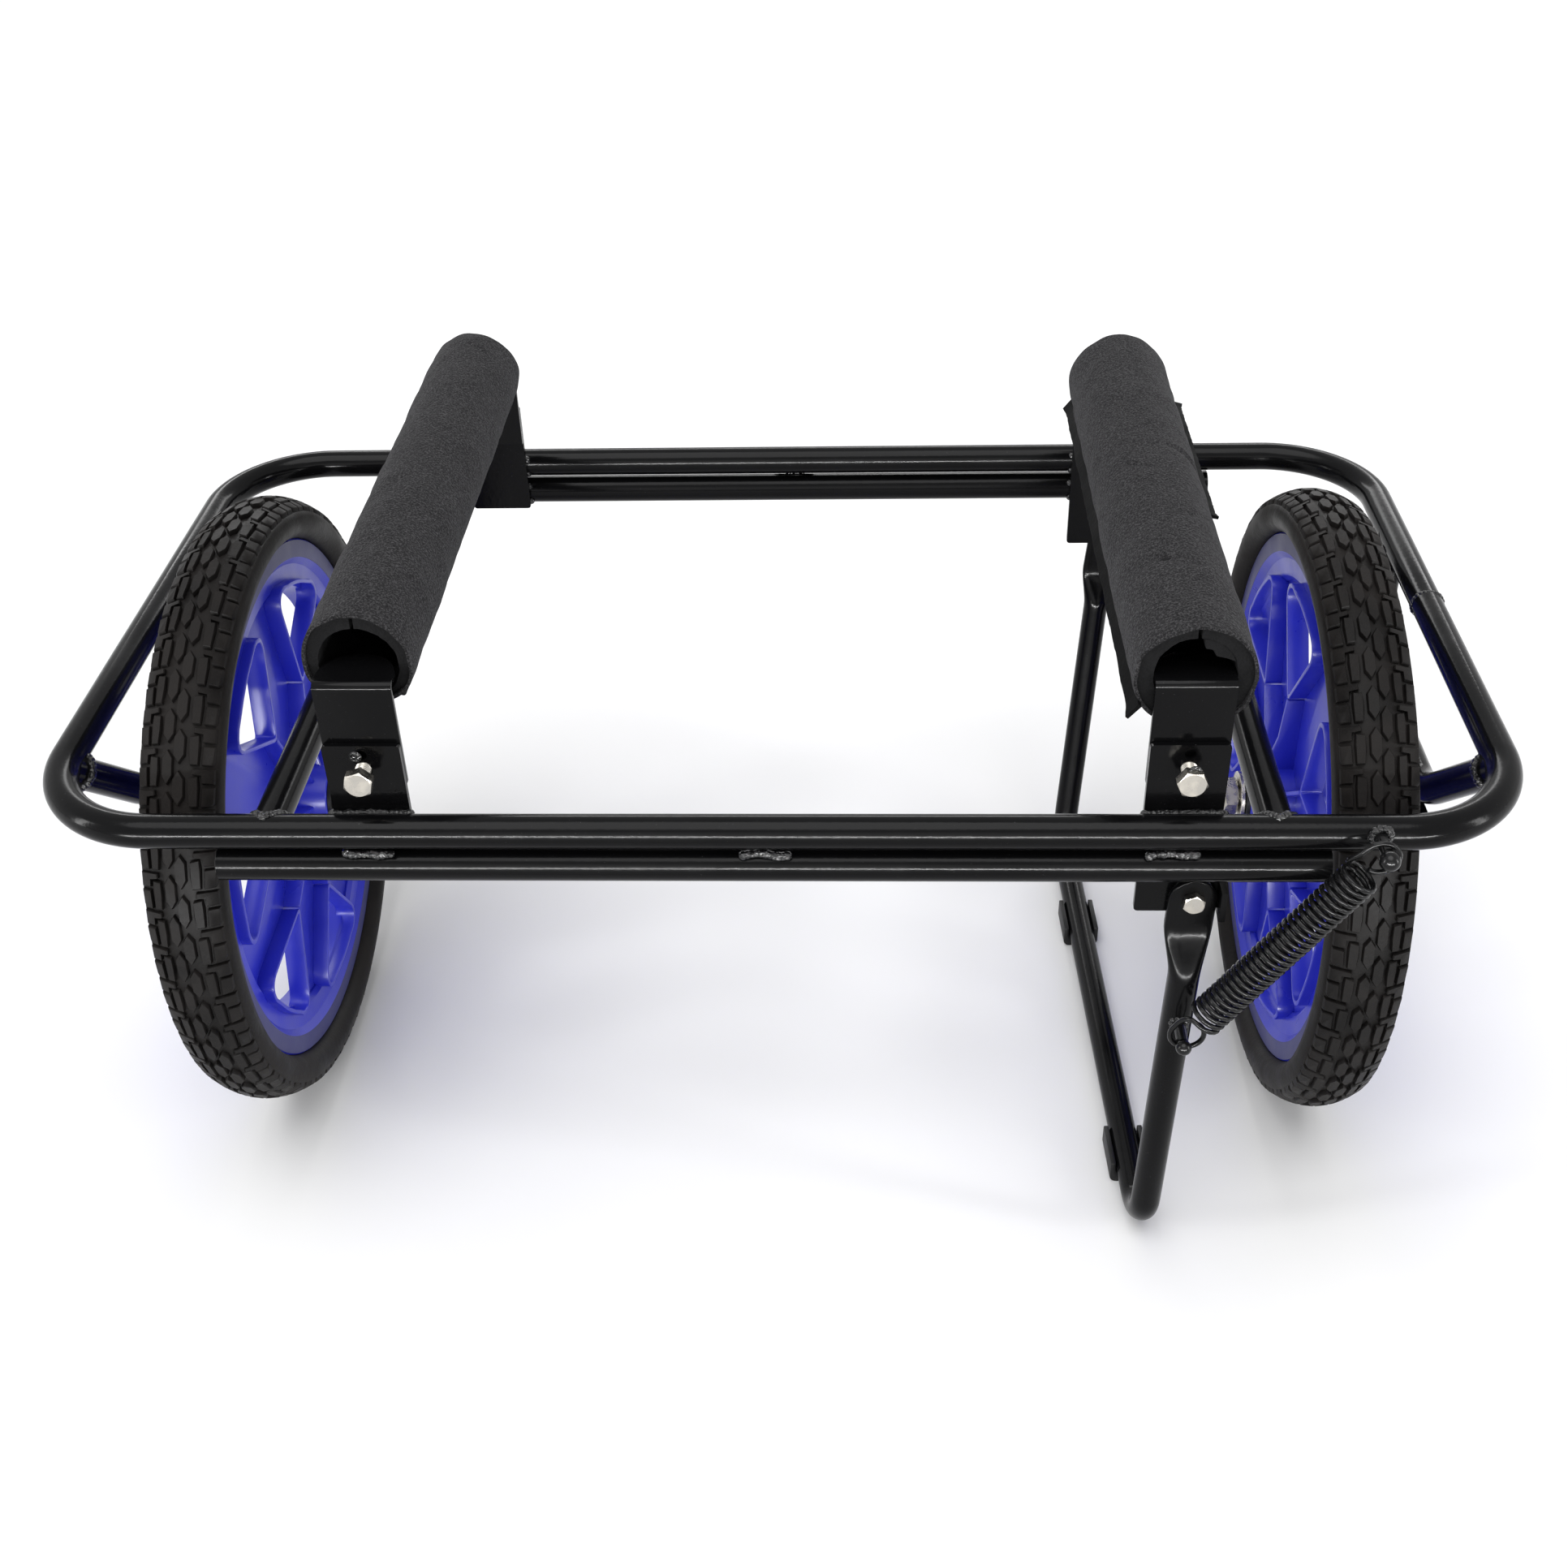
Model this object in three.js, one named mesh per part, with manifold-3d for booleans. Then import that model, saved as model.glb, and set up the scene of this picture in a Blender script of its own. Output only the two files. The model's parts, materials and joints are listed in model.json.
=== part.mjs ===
// Kayak cart: a bent-tube frame on two spoked wheels, with two padded hull rests across it
// and a sprung kickstand under its right side.
// Millimetres. +Z is up, +X is the cart's right and +Y its rear.
// Heights and depths are worked out from the middle of the frame loop. The whole cart is then
// moved so that the origin lies on the ground under the middle of its outline.

import * as THREE from "three";
import { mergeVertices } from "three/addons/utils/BufferGeometryUtils.js";
import Module from "manifold-3d";

const wasm = await Module();
wasm.setup();

// Clearances
const seatGap = 0.3; // between pieces that are welded, clamped or seated together
const holeGap = 0.4; // between a screw and the hole that it passes through

// Frame loop and the tubes welded to it
const tubeDiameter = 17.5;
const tubeWall = 1.5;
const frameWidth = 750; // over the side rails
const railSpacing = 398; // front rail to rear rail, centre to centre
const frameCornerRadius = 62; // on the centre line
const seamOffset = 11; // the butt weld on the right side rail lies this far behind the middle
const seamBeadWidth = 8;
const seamBeadHeight = 0.35;
const seamBeadSink = 0.5; // the bead's edges lie this far below the tube's surface
const lowerRailSetIn = 94.25; // each end of a lower rail, from the side rail's centre inwards
const lowerRailGap = 2.2; // open gap between the loop and the rail under it
const tackSetIn = 77; // the outer tacks, from the ends of the lower rail
const tackLength = 24;
const tackHalfWidth = 3.6;
const tackHalfHeight = 3.2;
const tackOffset = 4.6; // from the rail's middle towards the outside
const strutSetIn = 121.25; // from the side rail's centre inwards

// Wheels and what carries them
const wheelDiameter = 358;
const wheelWidth = 43;
const wheelSetIn = 64.25; // the wheel's middle plane, from the side rail's centre inwards
const axleDrop = 108; // axle below the frame loop
const axleOffset = -26; // axle in front of the middle of the loop
const axleDiameter = 12;
const axleInnerReach = 46; // from the wheel's middle plane to the axle's inner end
const axleCollarDiameter = 22;
const hangerSetIn = 17.25; // the hanger's lower run lies this far inside the side rail
const hangerDrop = 56;
const hangerRunLength = 132;
const hangerFootLength = 240; // where the hanger's legs meet the side rail
const hangerBendRadius = 35;
const axlePlateThickness = 5;
const axlePlateTopLength = 154;
const axlePlateEyeRadius = 20;
const hubWidth = 62;
const hubDiameter = 40;
const hubBoreGap = 2; // between the axle and the hub's own bore
const bushFlangeDiameter = 32;
const bushFlangeThickness = 2.5;
const bushDepth = 16;
const bushDiameter = 22;
const washerDiameter = 29;
const washerThickness = 2.4;
const axleNutWidth = 19; // across the flats
const axleNutThickness = 8;

// Rim
const rimDiameter = 307.4; // where the tyre sits
const rimFlangeDepth = 11.7; // width of the flat ring beside the tyre
const rimFlangeWidth = 28;
const rimBarrelDiameter = 252; // inside, where the spokes end
const rimBarrelWidth = 19;
const rimFlankSlope = 3; // the flange's flank leans in by this much
const rimFlankFoot = 1; // and its foot stands this far beyond the barrel's edge
const rimFacets = 36;
const hubEndTaper = 3;
const hubTaperLength = 17;
const spokeArms = 5;
const spokeArmWidth = 90;
const spokeArmReach = 142.6; // into the flange
const spokeInside = -11.7; // the arms' inner edges, measured outwards from the wheel's middle plane
const spokeOutside = -1.2;
const spokeFloor = -6; // bottom of the channel in each arm's inner face
const spokeWall = 3; // beside the channel
const spokeChannelStart = 64; // from the axle
const windowFrameTop = -13.8; // the raised frame round each window
const windowFrameSkin = 2;
const windowFrameWall = 2.5;
const windowFrameStart = { reach: 66, half: 3 };
const windowFrameEnd = { reach: 128, half: 24 };
const windowLength = 25; // from its tip out to its round-cornered side
const windowTipHalf = 2;
const windowTop = { reach: 123, half: 17 };
const windowCornerRadius = 6;

// Tyre
const treadPitches = 52;
const treadDepth = 2.6;
const shoulderDrop = 2.4; // below the crown
const shoulderEdgeDrop = 7.2;
const grooveFlank = 2.8;
const grooveAtNotch = 7.6; // from the middle, where the shoulder blocks are notched
const grooveAtBlock = 9.2;
const shoulderEdgeInset = 1.7;
const beadInset = 1;
const sidewallRadius = 163; // widest part

// Hull rests, the padded bunks
const strapWidth = 38;
const strapThickness = 3;
const leftBunkSetIn = 172.25; // from the side rail's centre inwards
const rightBunkSetIn = 165.25;
const plateTop = 44.5;
const leftPlateBottom = -28;
const rightPlateBottom = -57;
const bunkBoltHeight = 31;
const spareHoleDiameter = 5.5;
const spareHoleRise = 8.2; // above the bunk bolt
const plateCornerRadius = 2;
const bracketBottom = 20;
const bracketTop = 77.5;
const bracketBendRadius = 3;
const tongueReach = 27.5; // rounded end of the tongue, from the bracket's front
const bunkTubeDiameter = 17.5;
const bunkTubeSetIn = 5.65; // each end of the tube, from the bracket's inner face
const tongueWeldSink = 0.5; // the tube is let this far into the tongues
const padFacets = 32;
// A pad's ends are given from the front and rear rails' centres inwards.
const leftPad = { diameter: 56, height: 80, frontSetIn: 27, rearSetIn: 44 };
const rightPad = { diameter: 60, height: 76, frontSetIn: 15.7, rearSetIn: 49 };
const coverThickness = 1.4;
const foamBoreWidth = 39;
const foamBoreHeight = 39.8;
const foamSlitWidth = 1.6;
const foamSetBack = 4; // the cover overhangs the foam's ends

// Kickstand
const standPivotOffset = 9; // outside the middle of the right bunk's plates
const standPivotHeight = -46;
const standTubeDiameter = 16;
const standFlatWidth = 24;
const standFlatThickness = 5;
const standFrontFlatLength = 16; // below the pivot
const standRearFlatLength = 32; // long enough to clear the plate's edge when folded
const standFlatSquareness = 0.4; // 0 is a rectangle and 1 is an oval
const standTaperSquareness = 0.7;
const standTaperLength = 28;
const standLegOffset = 2; // both legs start this far outside the rails' centres
const standSoleThickness = 3; // of the feet, under the tube
// Corners of the stand, from its pivot towards the middle and from the nearer rail's centre outwards.
const standFrontBend = { inwards: 7, outwards: 4, radius: 22 };
const standRearBend = { inwards: 21.5, outwards: -56, radius: 35 };
const standStopHeight = 18;
const standStopReach = 11;
const standFootLength = 30;
const standFootWall = 3;
const standFootRise = 4; // of the foot's sides above the tube's centre
const standFootCorner = 4;
const frontFootSetIn = 55; // from the stand's front corner
const rearFootSetIn = 84; // from its rear corner
const standTipAngles = [20, 45, 68, 90]; // sections round the end of a flattened top, in degrees

// Over-centre spring and its two pins
const springPlaneGap = 2; // between the coil and the front of the rails
const springCoilDiameter = 19.5; // outside
const springWireDiameter = 2.4;
const springCoilTurns = 31;
const springPinDiameter = 6;
const springNeckLength = 4; // from an end loop to the coil
const springLoopSweep = (Math.PI * 3) / 2;
const springLoopSteps = 14;
const springStepsPerTurn = 8;
const framePinSetIn = 75.25; // from the side rail's centre inwards
const framePinHeight = 4;
const legPinDrop = 70.6; // below the stand's pivot
const framePinHeadDiameter = 10;
const legPinHeadDiameter = 8;
const pinHeadOverhang = 6.5; // ball centre in front of the spring's middle plane
const pinBeadWidth = 2; // weld round the root of each pin
const pinBeadHeight = 1.6;
const pinBeadDepth = 4;

// Screws
const bunkScrew = { diameter: 8, headWidth: 13, headHeight: 5.3, nutHeight: 6.5 };
const pivotScrew = { diameter: 6, headWidth: 10, headHeight: 4, nutHeight: 5 };
const bunkScrewProud = 8.5; // thread between the head and the plate
const screwTailBeyondNut = 2.5;

// Places that follow from these sizes
const tubeRadius = tubeDiameter / 2;
const railY = railSpacing / 2;
const sideRailX = (frameWidth - tubeDiameter) / 2;
const railInnerY = railY - tubeRadius;
const railFrontY = railY + tubeRadius;
const lowerRailDrop = tubeDiameter + lowerRailGap;
const wheelX = sideRailX - wheelSetIn;
const lowerRailLength = 2 * (sideRailX - lowerRailSetIn);
const tackSpacing = lowerRailLength / 2 - tackSetIn;
const strutX = sideRailX - strutSetIn;
const wheelRadius = wheelDiameter / 2;
const groundHeight = -(axleDrop + wheelRadius);
const hangerX = sideRailX - hangerSetIn;
const axlePlateTopHeight = -(hangerDrop + tubeRadius + seatGap);
const hubHalf = hubWidth / 2;
const windowTip = { reach: windowTop.reach - windowLength, half: windowTipHalf };
const leftBunkX = leftBunkSetIn - sideRailX;
const rightBunkX = sideRailX - rightBunkSetIn;
const plateOuterY = railInnerY - seatGap;
const plateInnerY = plateOuterY - strapThickness;
const bracketOuterY = plateInnerY - seatGap;
const bracketInnerY = bracketOuterY - strapThickness;
const bunkTubeLength = 2 * (bracketInnerY - bunkTubeSetIn);
const standPivotX = rightBunkX + standPivotOffset;
const standFrontY = -(railY + standLegOffset);
const standFrontCorner = {
  x: standPivotX - standFrontBend.inwards,
  y: -(railY + standFrontBend.outwards),
  bend: standFrontBend.radius,
};
const standRearCorner = {
  x: standPivotX - standRearBend.inwards,
  y: railY + standRearBend.outwards,
  bend: standRearBend.radius,
};
const frontFootY = standFrontCorner.y + frontFootSetIn;
const rearFootY = standRearCorner.y - rearFootSetIn;
const standFlatY = plateOuterY + seatGap + standFlatThickness / 2;
const framePinX = sideRailX - framePinSetIn;
const springY = -(railFrontY + springPlaneGap + springCoilDiameter / 2);
const pinHeadY = springY - pinHeadOverhang;
const framePinFrontY = pinHeadY - framePinHeadDiameter / 2;
const standBottomHeight = groundHeight + standSoleThickness + standTubeDiameter / 2;
const legSlope = (standFrontCorner.x - standPivotX) / (standBottomHeight - standPivotHeight);
const legPinX = standPivotX - legPinDrop * legSlope;
const legPinHeight = standPivotHeight - legPinDrop;
const legPinRootY = standFrontY - standTubeDiameter / 2;

const paint = { colour: 0x17171a, roughness: 0.32, metalness: 0.35 };
const plastic = { colour: 0x3438c8, roughness: 0.42, metalness: 0 };
const rubber = { colour: 0x26251f, roughness: 0.85, metalness: 0 };
const zinc = { colour: 0xcfcbc4, roughness: 0.3, metalness: 0.9 };
const fabric = { colour: 0x3c3b3d, roughness: 0.95, metalness: 0 };
const foam = { colour: 0x29282a, roughness: 0.95, metalness: 0 };
const bushPlastic = { colour: 0x1c1c1e, roughness: 0.5, metalness: 0 };

// Solids

function signedVolume(positions, triangles) {
  let sixfold = 0;
  const a = new THREE.Vector3();
  const b = new THREE.Vector3();
  const c = new THREE.Vector3();
  for (let i = 0; i < triangles.length; i += 3) {
    a.fromArray(positions, triangles[i] * 3);
    b.fromArray(positions, triangles[i + 1] * 3);
    c.fromArray(positions, triangles[i + 2] * 3);
    sixfold += a.dot(b.cross(c));
  }
  return sixfold / 6;
}

// A closed geometry becomes a solid with its faces pointing out.
function solidFrom(geometry) {
  const bare = new THREE.BufferGeometry();
  bare.setAttribute("position", geometry.getAttribute("position").clone());
  if (geometry.index) bare.setIndex(geometry.index.clone());
  const merged = mergeVertices(bare, 1e-4);
  const positions = merged.getAttribute("position").array;
  const corners = merged.index.array;
  const triangles = [];
  for (let i = 0; i < corners.length; i += 3) {
    const [a, b, c] = [corners[i], corners[i + 1], corners[i + 2]];
    if (a !== b && b !== c && c !== a) triangles.push(a, b, c);
  }
  if (signedVolume(positions, triangles) < 0) triangles.reverse();
  const mesh = new wasm.Mesh({
    numProp: 3,
    vertProperties: new Float32Array(positions),
    triVerts: new Uint32Array(triangles),
  });
  return new wasm.Manifold(mesh);
}

function geometryFrom(solid) {
  const { numProp, vertProperties, triVerts } = solid.getMesh();
  const positions = new Float32Array((vertProperties.length / numProp) * 3);
  for (let i = 0, n = positions.length / 3; i < n; i++) {
    positions.set(vertProperties.subarray(i * numProp, i * numProp + 3), i * 3);
  }
  const geometry = new THREE.BufferGeometry();
  geometry.setAttribute("position", new THREE.BufferAttribute(positions, 3));
  geometry.setIndex(new THREE.BufferAttribute(new Uint32Array(triVerts), 1));
  geometry.computeVertexNormals();
  return geometry;
}

// A ring of points on a circle, or on a squarer oval where squareness is below 1.
function ringPoints(halfWidth, halfHeight, sides, squareness = 1, turn = 0) {
  const points = [];
  for (let i = 0; i < sides; i++) {
    const angle = turn + (i / sides) * Math.PI * 2;
    const across = Math.cos(angle);
    const up = Math.sin(angle);
    points.push(new THREE.Vector2(
      halfWidth * Math.sign(across) * Math.abs(across) ** squareness,
      halfHeight * Math.sign(up) * Math.abs(up) ** squareness,
    ));
  }
  return points;
}

function circleShape(radius, sides, turn = 0) {
  return new THREE.Shape(ringPoints(radius, radius, sides, 1, turn));
}

function addRoundHole(shape, x, y, diameter, sides = 12) {
  const points = ringPoints(diameter / 2, diameter / 2, sides);
  points.forEach((point) => point.set(point.x + x, point.y + y));
  shape.holes.push(new THREE.Path(points));
}

// Cross-sections of equal count, joined in order and capped, or joined round into a ring.
function loft(sections, closed = false) {
  const count = sections[0].length;
  const positions = [];
  sections.forEach((section) => section.forEach((point) => positions.push(point.x, point.y, point.z)));
  const triangles = [];
  const links = closed ? sections.length : sections.length - 1;
  for (let i = 0; i < links; i++) {
    const here = i * count;
    const next = ((i + 1) % sections.length) * count;
    for (let j = 0; j < count; j++) {
      const k = (j + 1) % count;
      triangles.push(here + j, here + k, next + k, here + j, next + k, next + j);
    }
  }
  if (!closed) {
    const last = (sections.length - 1) * count;
    for (let j = 1; j < count - 1; j++) {
      triangles.push(0, j + 1, j, last, last + j, last + j + 1);
    }
  }
  const geometry = new THREE.BufferGeometry();
  geometry.setAttribute("position", new THREE.Float32BufferAttribute(positions, 3));
  geometry.setIndex(triangles);
  return geometry;
}

// A centre line with stations only where it turns. Each station has its point and its heading.
class StationLine extends THREE.Curve {
  constructor(stations) {
    super();
    this.stations = stations;
  }

  stationAt(share) {
    return this.stations[Math.round(share * (this.stations.length - 1))];
  }

  getPoint(share, target = new THREE.Vector3()) {
    return target.copy(this.stationAt(share).point);
  }

  getPointAt(share, target) {
    return this.getPoint(share, target);
  }

  getTangentAt(share, target = new THREE.Vector3()) {
    return target.copy(this.stationAt(share).tangent);
  }
}

function heading(from, to) {
  return to.clone().sub(from).normalize();
}

// The stations of one round bend, from where the straight before it ends to where the next begins.
function bendStations(before, corner, after, steps) {
  const arriving = heading(before, corner.at);
  const leaving = heading(corner.at, after);
  const turn = arriving.angleTo(leaving);
  const start = corner.at.clone().addScaledVector(arriving, -corner.bend * Math.tan(turn / 2));
  const axis = arriving.clone().cross(leaving).normalize();
  const toCentre = axis.clone().cross(arriving).multiplyScalar(corner.bend);
  const centre = start.clone().add(toCentre);
  const stations = [];
  for (let i = 0; i <= steps; i++) {
    const angle = (turn * i) / steps;
    const point = toCentre.clone().negate().applyAxisAngle(axis, angle).add(centre);
    stations.push({ point, tangent: arriving.clone().applyAxisAngle(axis, angle) });
  }
  return stations;
}

// Straight runs joined by round bends. The first and last corners are the line's ends.
function bentLine(corners, stepsPerBend = 6) {
  const count = corners.length;
  const stations = [{ point: corners[0].at, tangent: heading(corners[0].at, corners[1].at) }];
  for (let i = 1; i < count - 1; i++) {
    stations.push(...bendStations(corners[i - 1].at, corners[i], corners[i + 1].at, stepsPerBend));
  }
  const last = corners[count - 1].at;
  stations.push({ point: last, tangent: heading(corners[count - 2].at, last) });
  return new StationLine(stations);
}

function bentTube(line, diameter, sides = 12) {
  const shape = circleShape(diameter / 2, sides);
  const steps = line.stations.length - 1;
  return solidFrom(new THREE.ExtrudeGeometry(shape, { steps, extrudePath: line, bevelEnabled: false }));
}

// A flat shape drawn in X and Z, with its thickness along Y from front to rear.
function plateAcross(shape, front, rear) {
  const geometry = new THREE.ExtrudeGeometry(shape, { depth: rear - front, bevelEnabled: false });
  geometry.rotateX(Math.PI / 2);
  geometry.translate(0, rear, 0);
  return solidFrom(geometry);
}

// A flat shape drawn in Y and Z, with its thickness along X.
function plateAlong(shape, left, right) {
  const geometry = new THREE.ExtrudeGeometry(shape, { depth: right - left, bevelEnabled: false });
  geometry.applyMatrix4(new THREE.Matrix4().set(0, 0, 1, left, 1, 0, 0, 0, 0, 1, 0, 0, 0, 0, 0, 1));
  return solidFrom(geometry);
}

// A turned piece. The profile holds [radius, distance along the axis] pairs.
function turned(profile, segments, axis) {
  const points = profile.map(([radius, along]) => new THREE.Vector2(radius, along));
  const geometry = new THREE.LatheGeometry(points, segments);
  if (axis === "x") geometry.rotateZ(-Math.PI / 2);
  return solidFrom(geometry);
}

function ringProfile(innerRadius, outerRadius, start, end) {
  return [
    [innerRadius, start],
    [outerRadius, start],
    [outerRadius, end],
    [innerRadius, end],
    [innerRadius, start],
  ];
}

function rod(radius, start, end, axis, segments = 12) {
  return turned([[0, start], [radius, start], [radius, end], [0, end]], segments, axis);
}

function block(left, right, front, rear, bottom, top) {
  const geometry = new THREE.BoxGeometry(right - left, rear - front, top - bottom);
  geometry.translate((left + right) / 2, (front + rear) / 2, (bottom + top) / 2);
  return solidFrom(geometry);
}

// A hexagonal prism along Y or X, given across its flats.
function hexagon(acrossFlats, start, end, axis) {
  return rod(acrossFlats / Math.sqrt(3), start, end, axis, 6);
}

function roundedRectangle(left, bottom, right, top, radius) {
  const shape = new THREE.Shape();
  shape.moveTo(left + radius, bottom);
  shape.lineTo(right - radius, bottom);
  shape.absarc(right - radius, bottom + radius, radius, -Math.PI / 2, 0);
  shape.absarc(right - radius, top - radius, radius, 0, Math.PI / 2);
  shape.absarc(left + radius, top - radius, radius, Math.PI / 2, Math.PI);
  shape.absarc(left + radius, bottom + radius, radius, Math.PI, Math.PI * 1.5);
  return new THREE.Shape(shape.getPoints(2));
}

// Frame

function loopLine() {
  const corner = (x, y) => ({ at: new THREE.Vector3(x, y, 0), bend: frameCornerRadius });
  return bentLine([
    corner(sideRailX, seamOffset + seatGap / 2),
    corner(sideRailX, railY),
    corner(-sideRailX, railY),
    corner(-sideRailX, -railY),
    corner(sideRailX, -railY),
    corner(sideRailX, seamOffset - seatGap / 2),
  ]);
}

function frameLoop() {
  const bead = turned([
    [0, -seamBeadWidth / 2],
    [tubeRadius - seamBeadSink, -seamBeadWidth / 2],
    [tubeRadius + seamBeadHeight, -seamBeadWidth / 6],
    [tubeRadius + seamBeadHeight, seamBeadWidth / 6],
    [tubeRadius - seamBeadSink, seamBeadWidth / 2],
    [0, seamBeadWidth / 2],
  ], 12, "y").translate([sideRailX, seamOffset, 0]);
  return bentTube(loopLine(), tubeDiameter).add(bead);
}

// The loop grown by the seat gap, for cutting what is welded to it.
const loopKeepOut = bentTube(loopLine(), tubeDiameter + 2 * seatGap);

function lowerRail(side) {
  const shape = circleShape(tubeRadius, 12);
  shape.holes.push(new THREE.Path(ringPoints(tubeRadius - tubeWall, tubeRadius - tubeWall, 12)));
  const y = side * railY;
  const half = lowerRailLength / 2;
  const tube = plateAlong(shape, -half, half).translate([0, y, -lowerRailDrop]);
  const bore = rod(tubeRadius - tubeWall, -half - 1, half + 1, "x").translate([0, y, -lowerRailDrop]);
  let rail = tube;
  for (let i = -1; i <= 1; i++) {
    const tack = new THREE.SphereGeometry(1, 8, 6);
    tack.scale(tackLength / 2, tackHalfWidth, tackHalfHeight);
    tack.translate(i * tackSpacing, y + side * tackOffset, -lowerRailDrop / 2);
    rail = rail.add(solidFrom(tack).subtract(loopKeepOut).subtract(bore));
  }
  return rail;
}

function innerStrut(side) {
  const x = side * strutX;
  return rod(tubeRadius, -railY, railY, "y").translate([x, 0, 0]).subtract(loopKeepOut);
}

function axleHanger(side) {
  const at = (x, y, z) => ({ at: new THREE.Vector3(side * x, axleOffset + y, z), bend: hangerBendRadius });
  const line = bentLine([
    at(sideRailX, -hangerFootLength / 2, 0),
    at(hangerX, -hangerRunLength / 2, -hangerDrop),
    at(hangerX, hangerRunLength / 2, -hangerDrop),
    at(sideRailX, hangerFootLength / 2, 0),
  ], 4);
  return bentTube(line, tubeDiameter).subtract(loopKeepOut).decompose()
    .reduce((largest, piece) => (piece.volume() > largest.volume() ? piece : largest));
}

function axlePlate(side) {
  const half = axlePlateTopLength / 2;
  const drop = axlePlateTopHeight + axleDrop;
  const tangentAngle = Math.acos(axlePlateEyeRadius / Math.hypot(drop, half)) - Math.atan2(drop, half);
  const shape = new THREE.Shape();
  shape.moveTo(axleOffset + half, axlePlateTopHeight);
  shape.lineTo(axleOffset - half, axlePlateTopHeight);
  shape.absarc(axleOffset, -axleDrop, axlePlateEyeRadius, Math.PI + tangentAngle, Math.PI * 2 - tangentAngle);
  const outline = new THREE.Shape(shape.getPoints(6));
  addRoundHole(outline, axleOffset, -axleDrop, axleDiameter + 2 * seatGap, 16);
  const inner = side * hangerX - axlePlateThickness / 2;
  return plateAlong(outline, inner, inner + axlePlateThickness);
}

// Wheel pieces are worked out about the wheel's own middle, with +X towards the outside of the cart.

function wheelPlace(solid, side) {
  const turnedOut = side < 0 ? solid.scale([-1, 1, 1]) : solid;
  return turnedOut.translate([side * wheelX, axleOffset, -axleDrop]);
}

function axle(side) {
  const plateInside = hangerX - wheelX - axlePlateThickness / 2;
  const shank = rod(axleDiameter / 2, -axleInnerReach, plateInside + axlePlateThickness, "x", 16);
  const collarStart = hubHalf + bushFlangeThickness + seatGap;
  const collar = rod(axleCollarDiameter / 2, collarStart, plateInside - seatGap, "x", 20);
  return wheelPlace(shank.add(collar), side);
}

function axleWasher(side) {
  const end = -(hubHalf + bushFlangeThickness + seatGap);
  const ring = ringProfile(axleDiameter / 2 + seatGap, washerDiameter / 2, end - washerThickness, end);
  return wheelPlace(turned(ring, 16, "x"), side);
}

function axleNut(side) {
  const end = -(hubHalf + bushFlangeThickness + seatGap + washerThickness + seatGap);
  const nut = hexagon(axleNutWidth, end - axleNutThickness, end, "x");
  const bore = rod(axleDiameter / 2 + seatGap, -hubWidth, 0, "x", 16);
  return wheelPlace(nut.subtract(bore), side);
}

// A wedge drawn with X outwards along a spoke arm, from near the hub to near the rim.
function wedgeShape(start, end, inset) {
  return new THREE.Shape([
    new THREE.Vector2(start.reach + inset, -start.half),
    new THREE.Vector2(end.reach - inset, inset - end.half),
    new THREE.Vector2(end.reach - inset, end.half - inset),
    new THREE.Vector2(start.reach + inset, start.half),
  ]);
}

// The window through a spoke arm, drawn the same way, with round corners beside the rim.
function windowShape() {
  const lean = (windowTop.half - windowTip.half) / (windowTop.reach - windowTip.reach);
  const flankEnd = windowTop.reach - windowCornerRadius;
  const flankHalf = windowTop.half - lean * windowCornerRadius;
  const shape = new THREE.Shape();
  shape.moveTo(windowTip.reach, windowTip.half);
  shape.lineTo(windowTip.reach, -windowTip.half);
  shape.lineTo(flankEnd, -flankHalf);
  shape.quadraticCurveTo(windowTop.reach, -windowTop.half, windowTop.reach, windowCornerRadius - flankHalf);
  shape.lineTo(windowTop.reach, flankHalf - windowCornerRadius);
  shape.quadraticCurveTo(windowTop.reach, windowTop.half, flankEnd, flankHalf);
  return new THREE.Shape(shape.getPoints(3));
}

// One arm along +Y: a channel with a hollow wedge standing in it, and a window through the wedge.
function spokeArm() {
  const half = spokeArmWidth / 2;
  const channelHalf = half - spokeWall;
  const slab = block(spokeInside, spokeOutside, 0, spokeArmReach, -half, half)
    .intersect(rod(spokeArmReach, -wheelWidth, wheelWidth, "x", rimFacets));
  const channel = block(-wheelWidth, spokeFloor, spokeChannelStart, rimDiameter, -channelHalf, channelHalf);
  const frame = plateAlong(
    wedgeShape(windowFrameStart, windowFrameEnd, 0),
    windowFrameTop,
    (spokeFloor + spokeOutside) / 2,
  );
  const hollow = plateAlong(
    wedgeShape(windowFrameStart, windowFrameEnd, windowFrameWall),
    windowFrameTop + windowFrameSkin,
    wheelWidth,
  );
  const window = plateAlong(windowShape(), -wheelWidth, wheelWidth);
  return slab.subtract(channel).add(frame).subtract(hollow).subtract(window);
}

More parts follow.
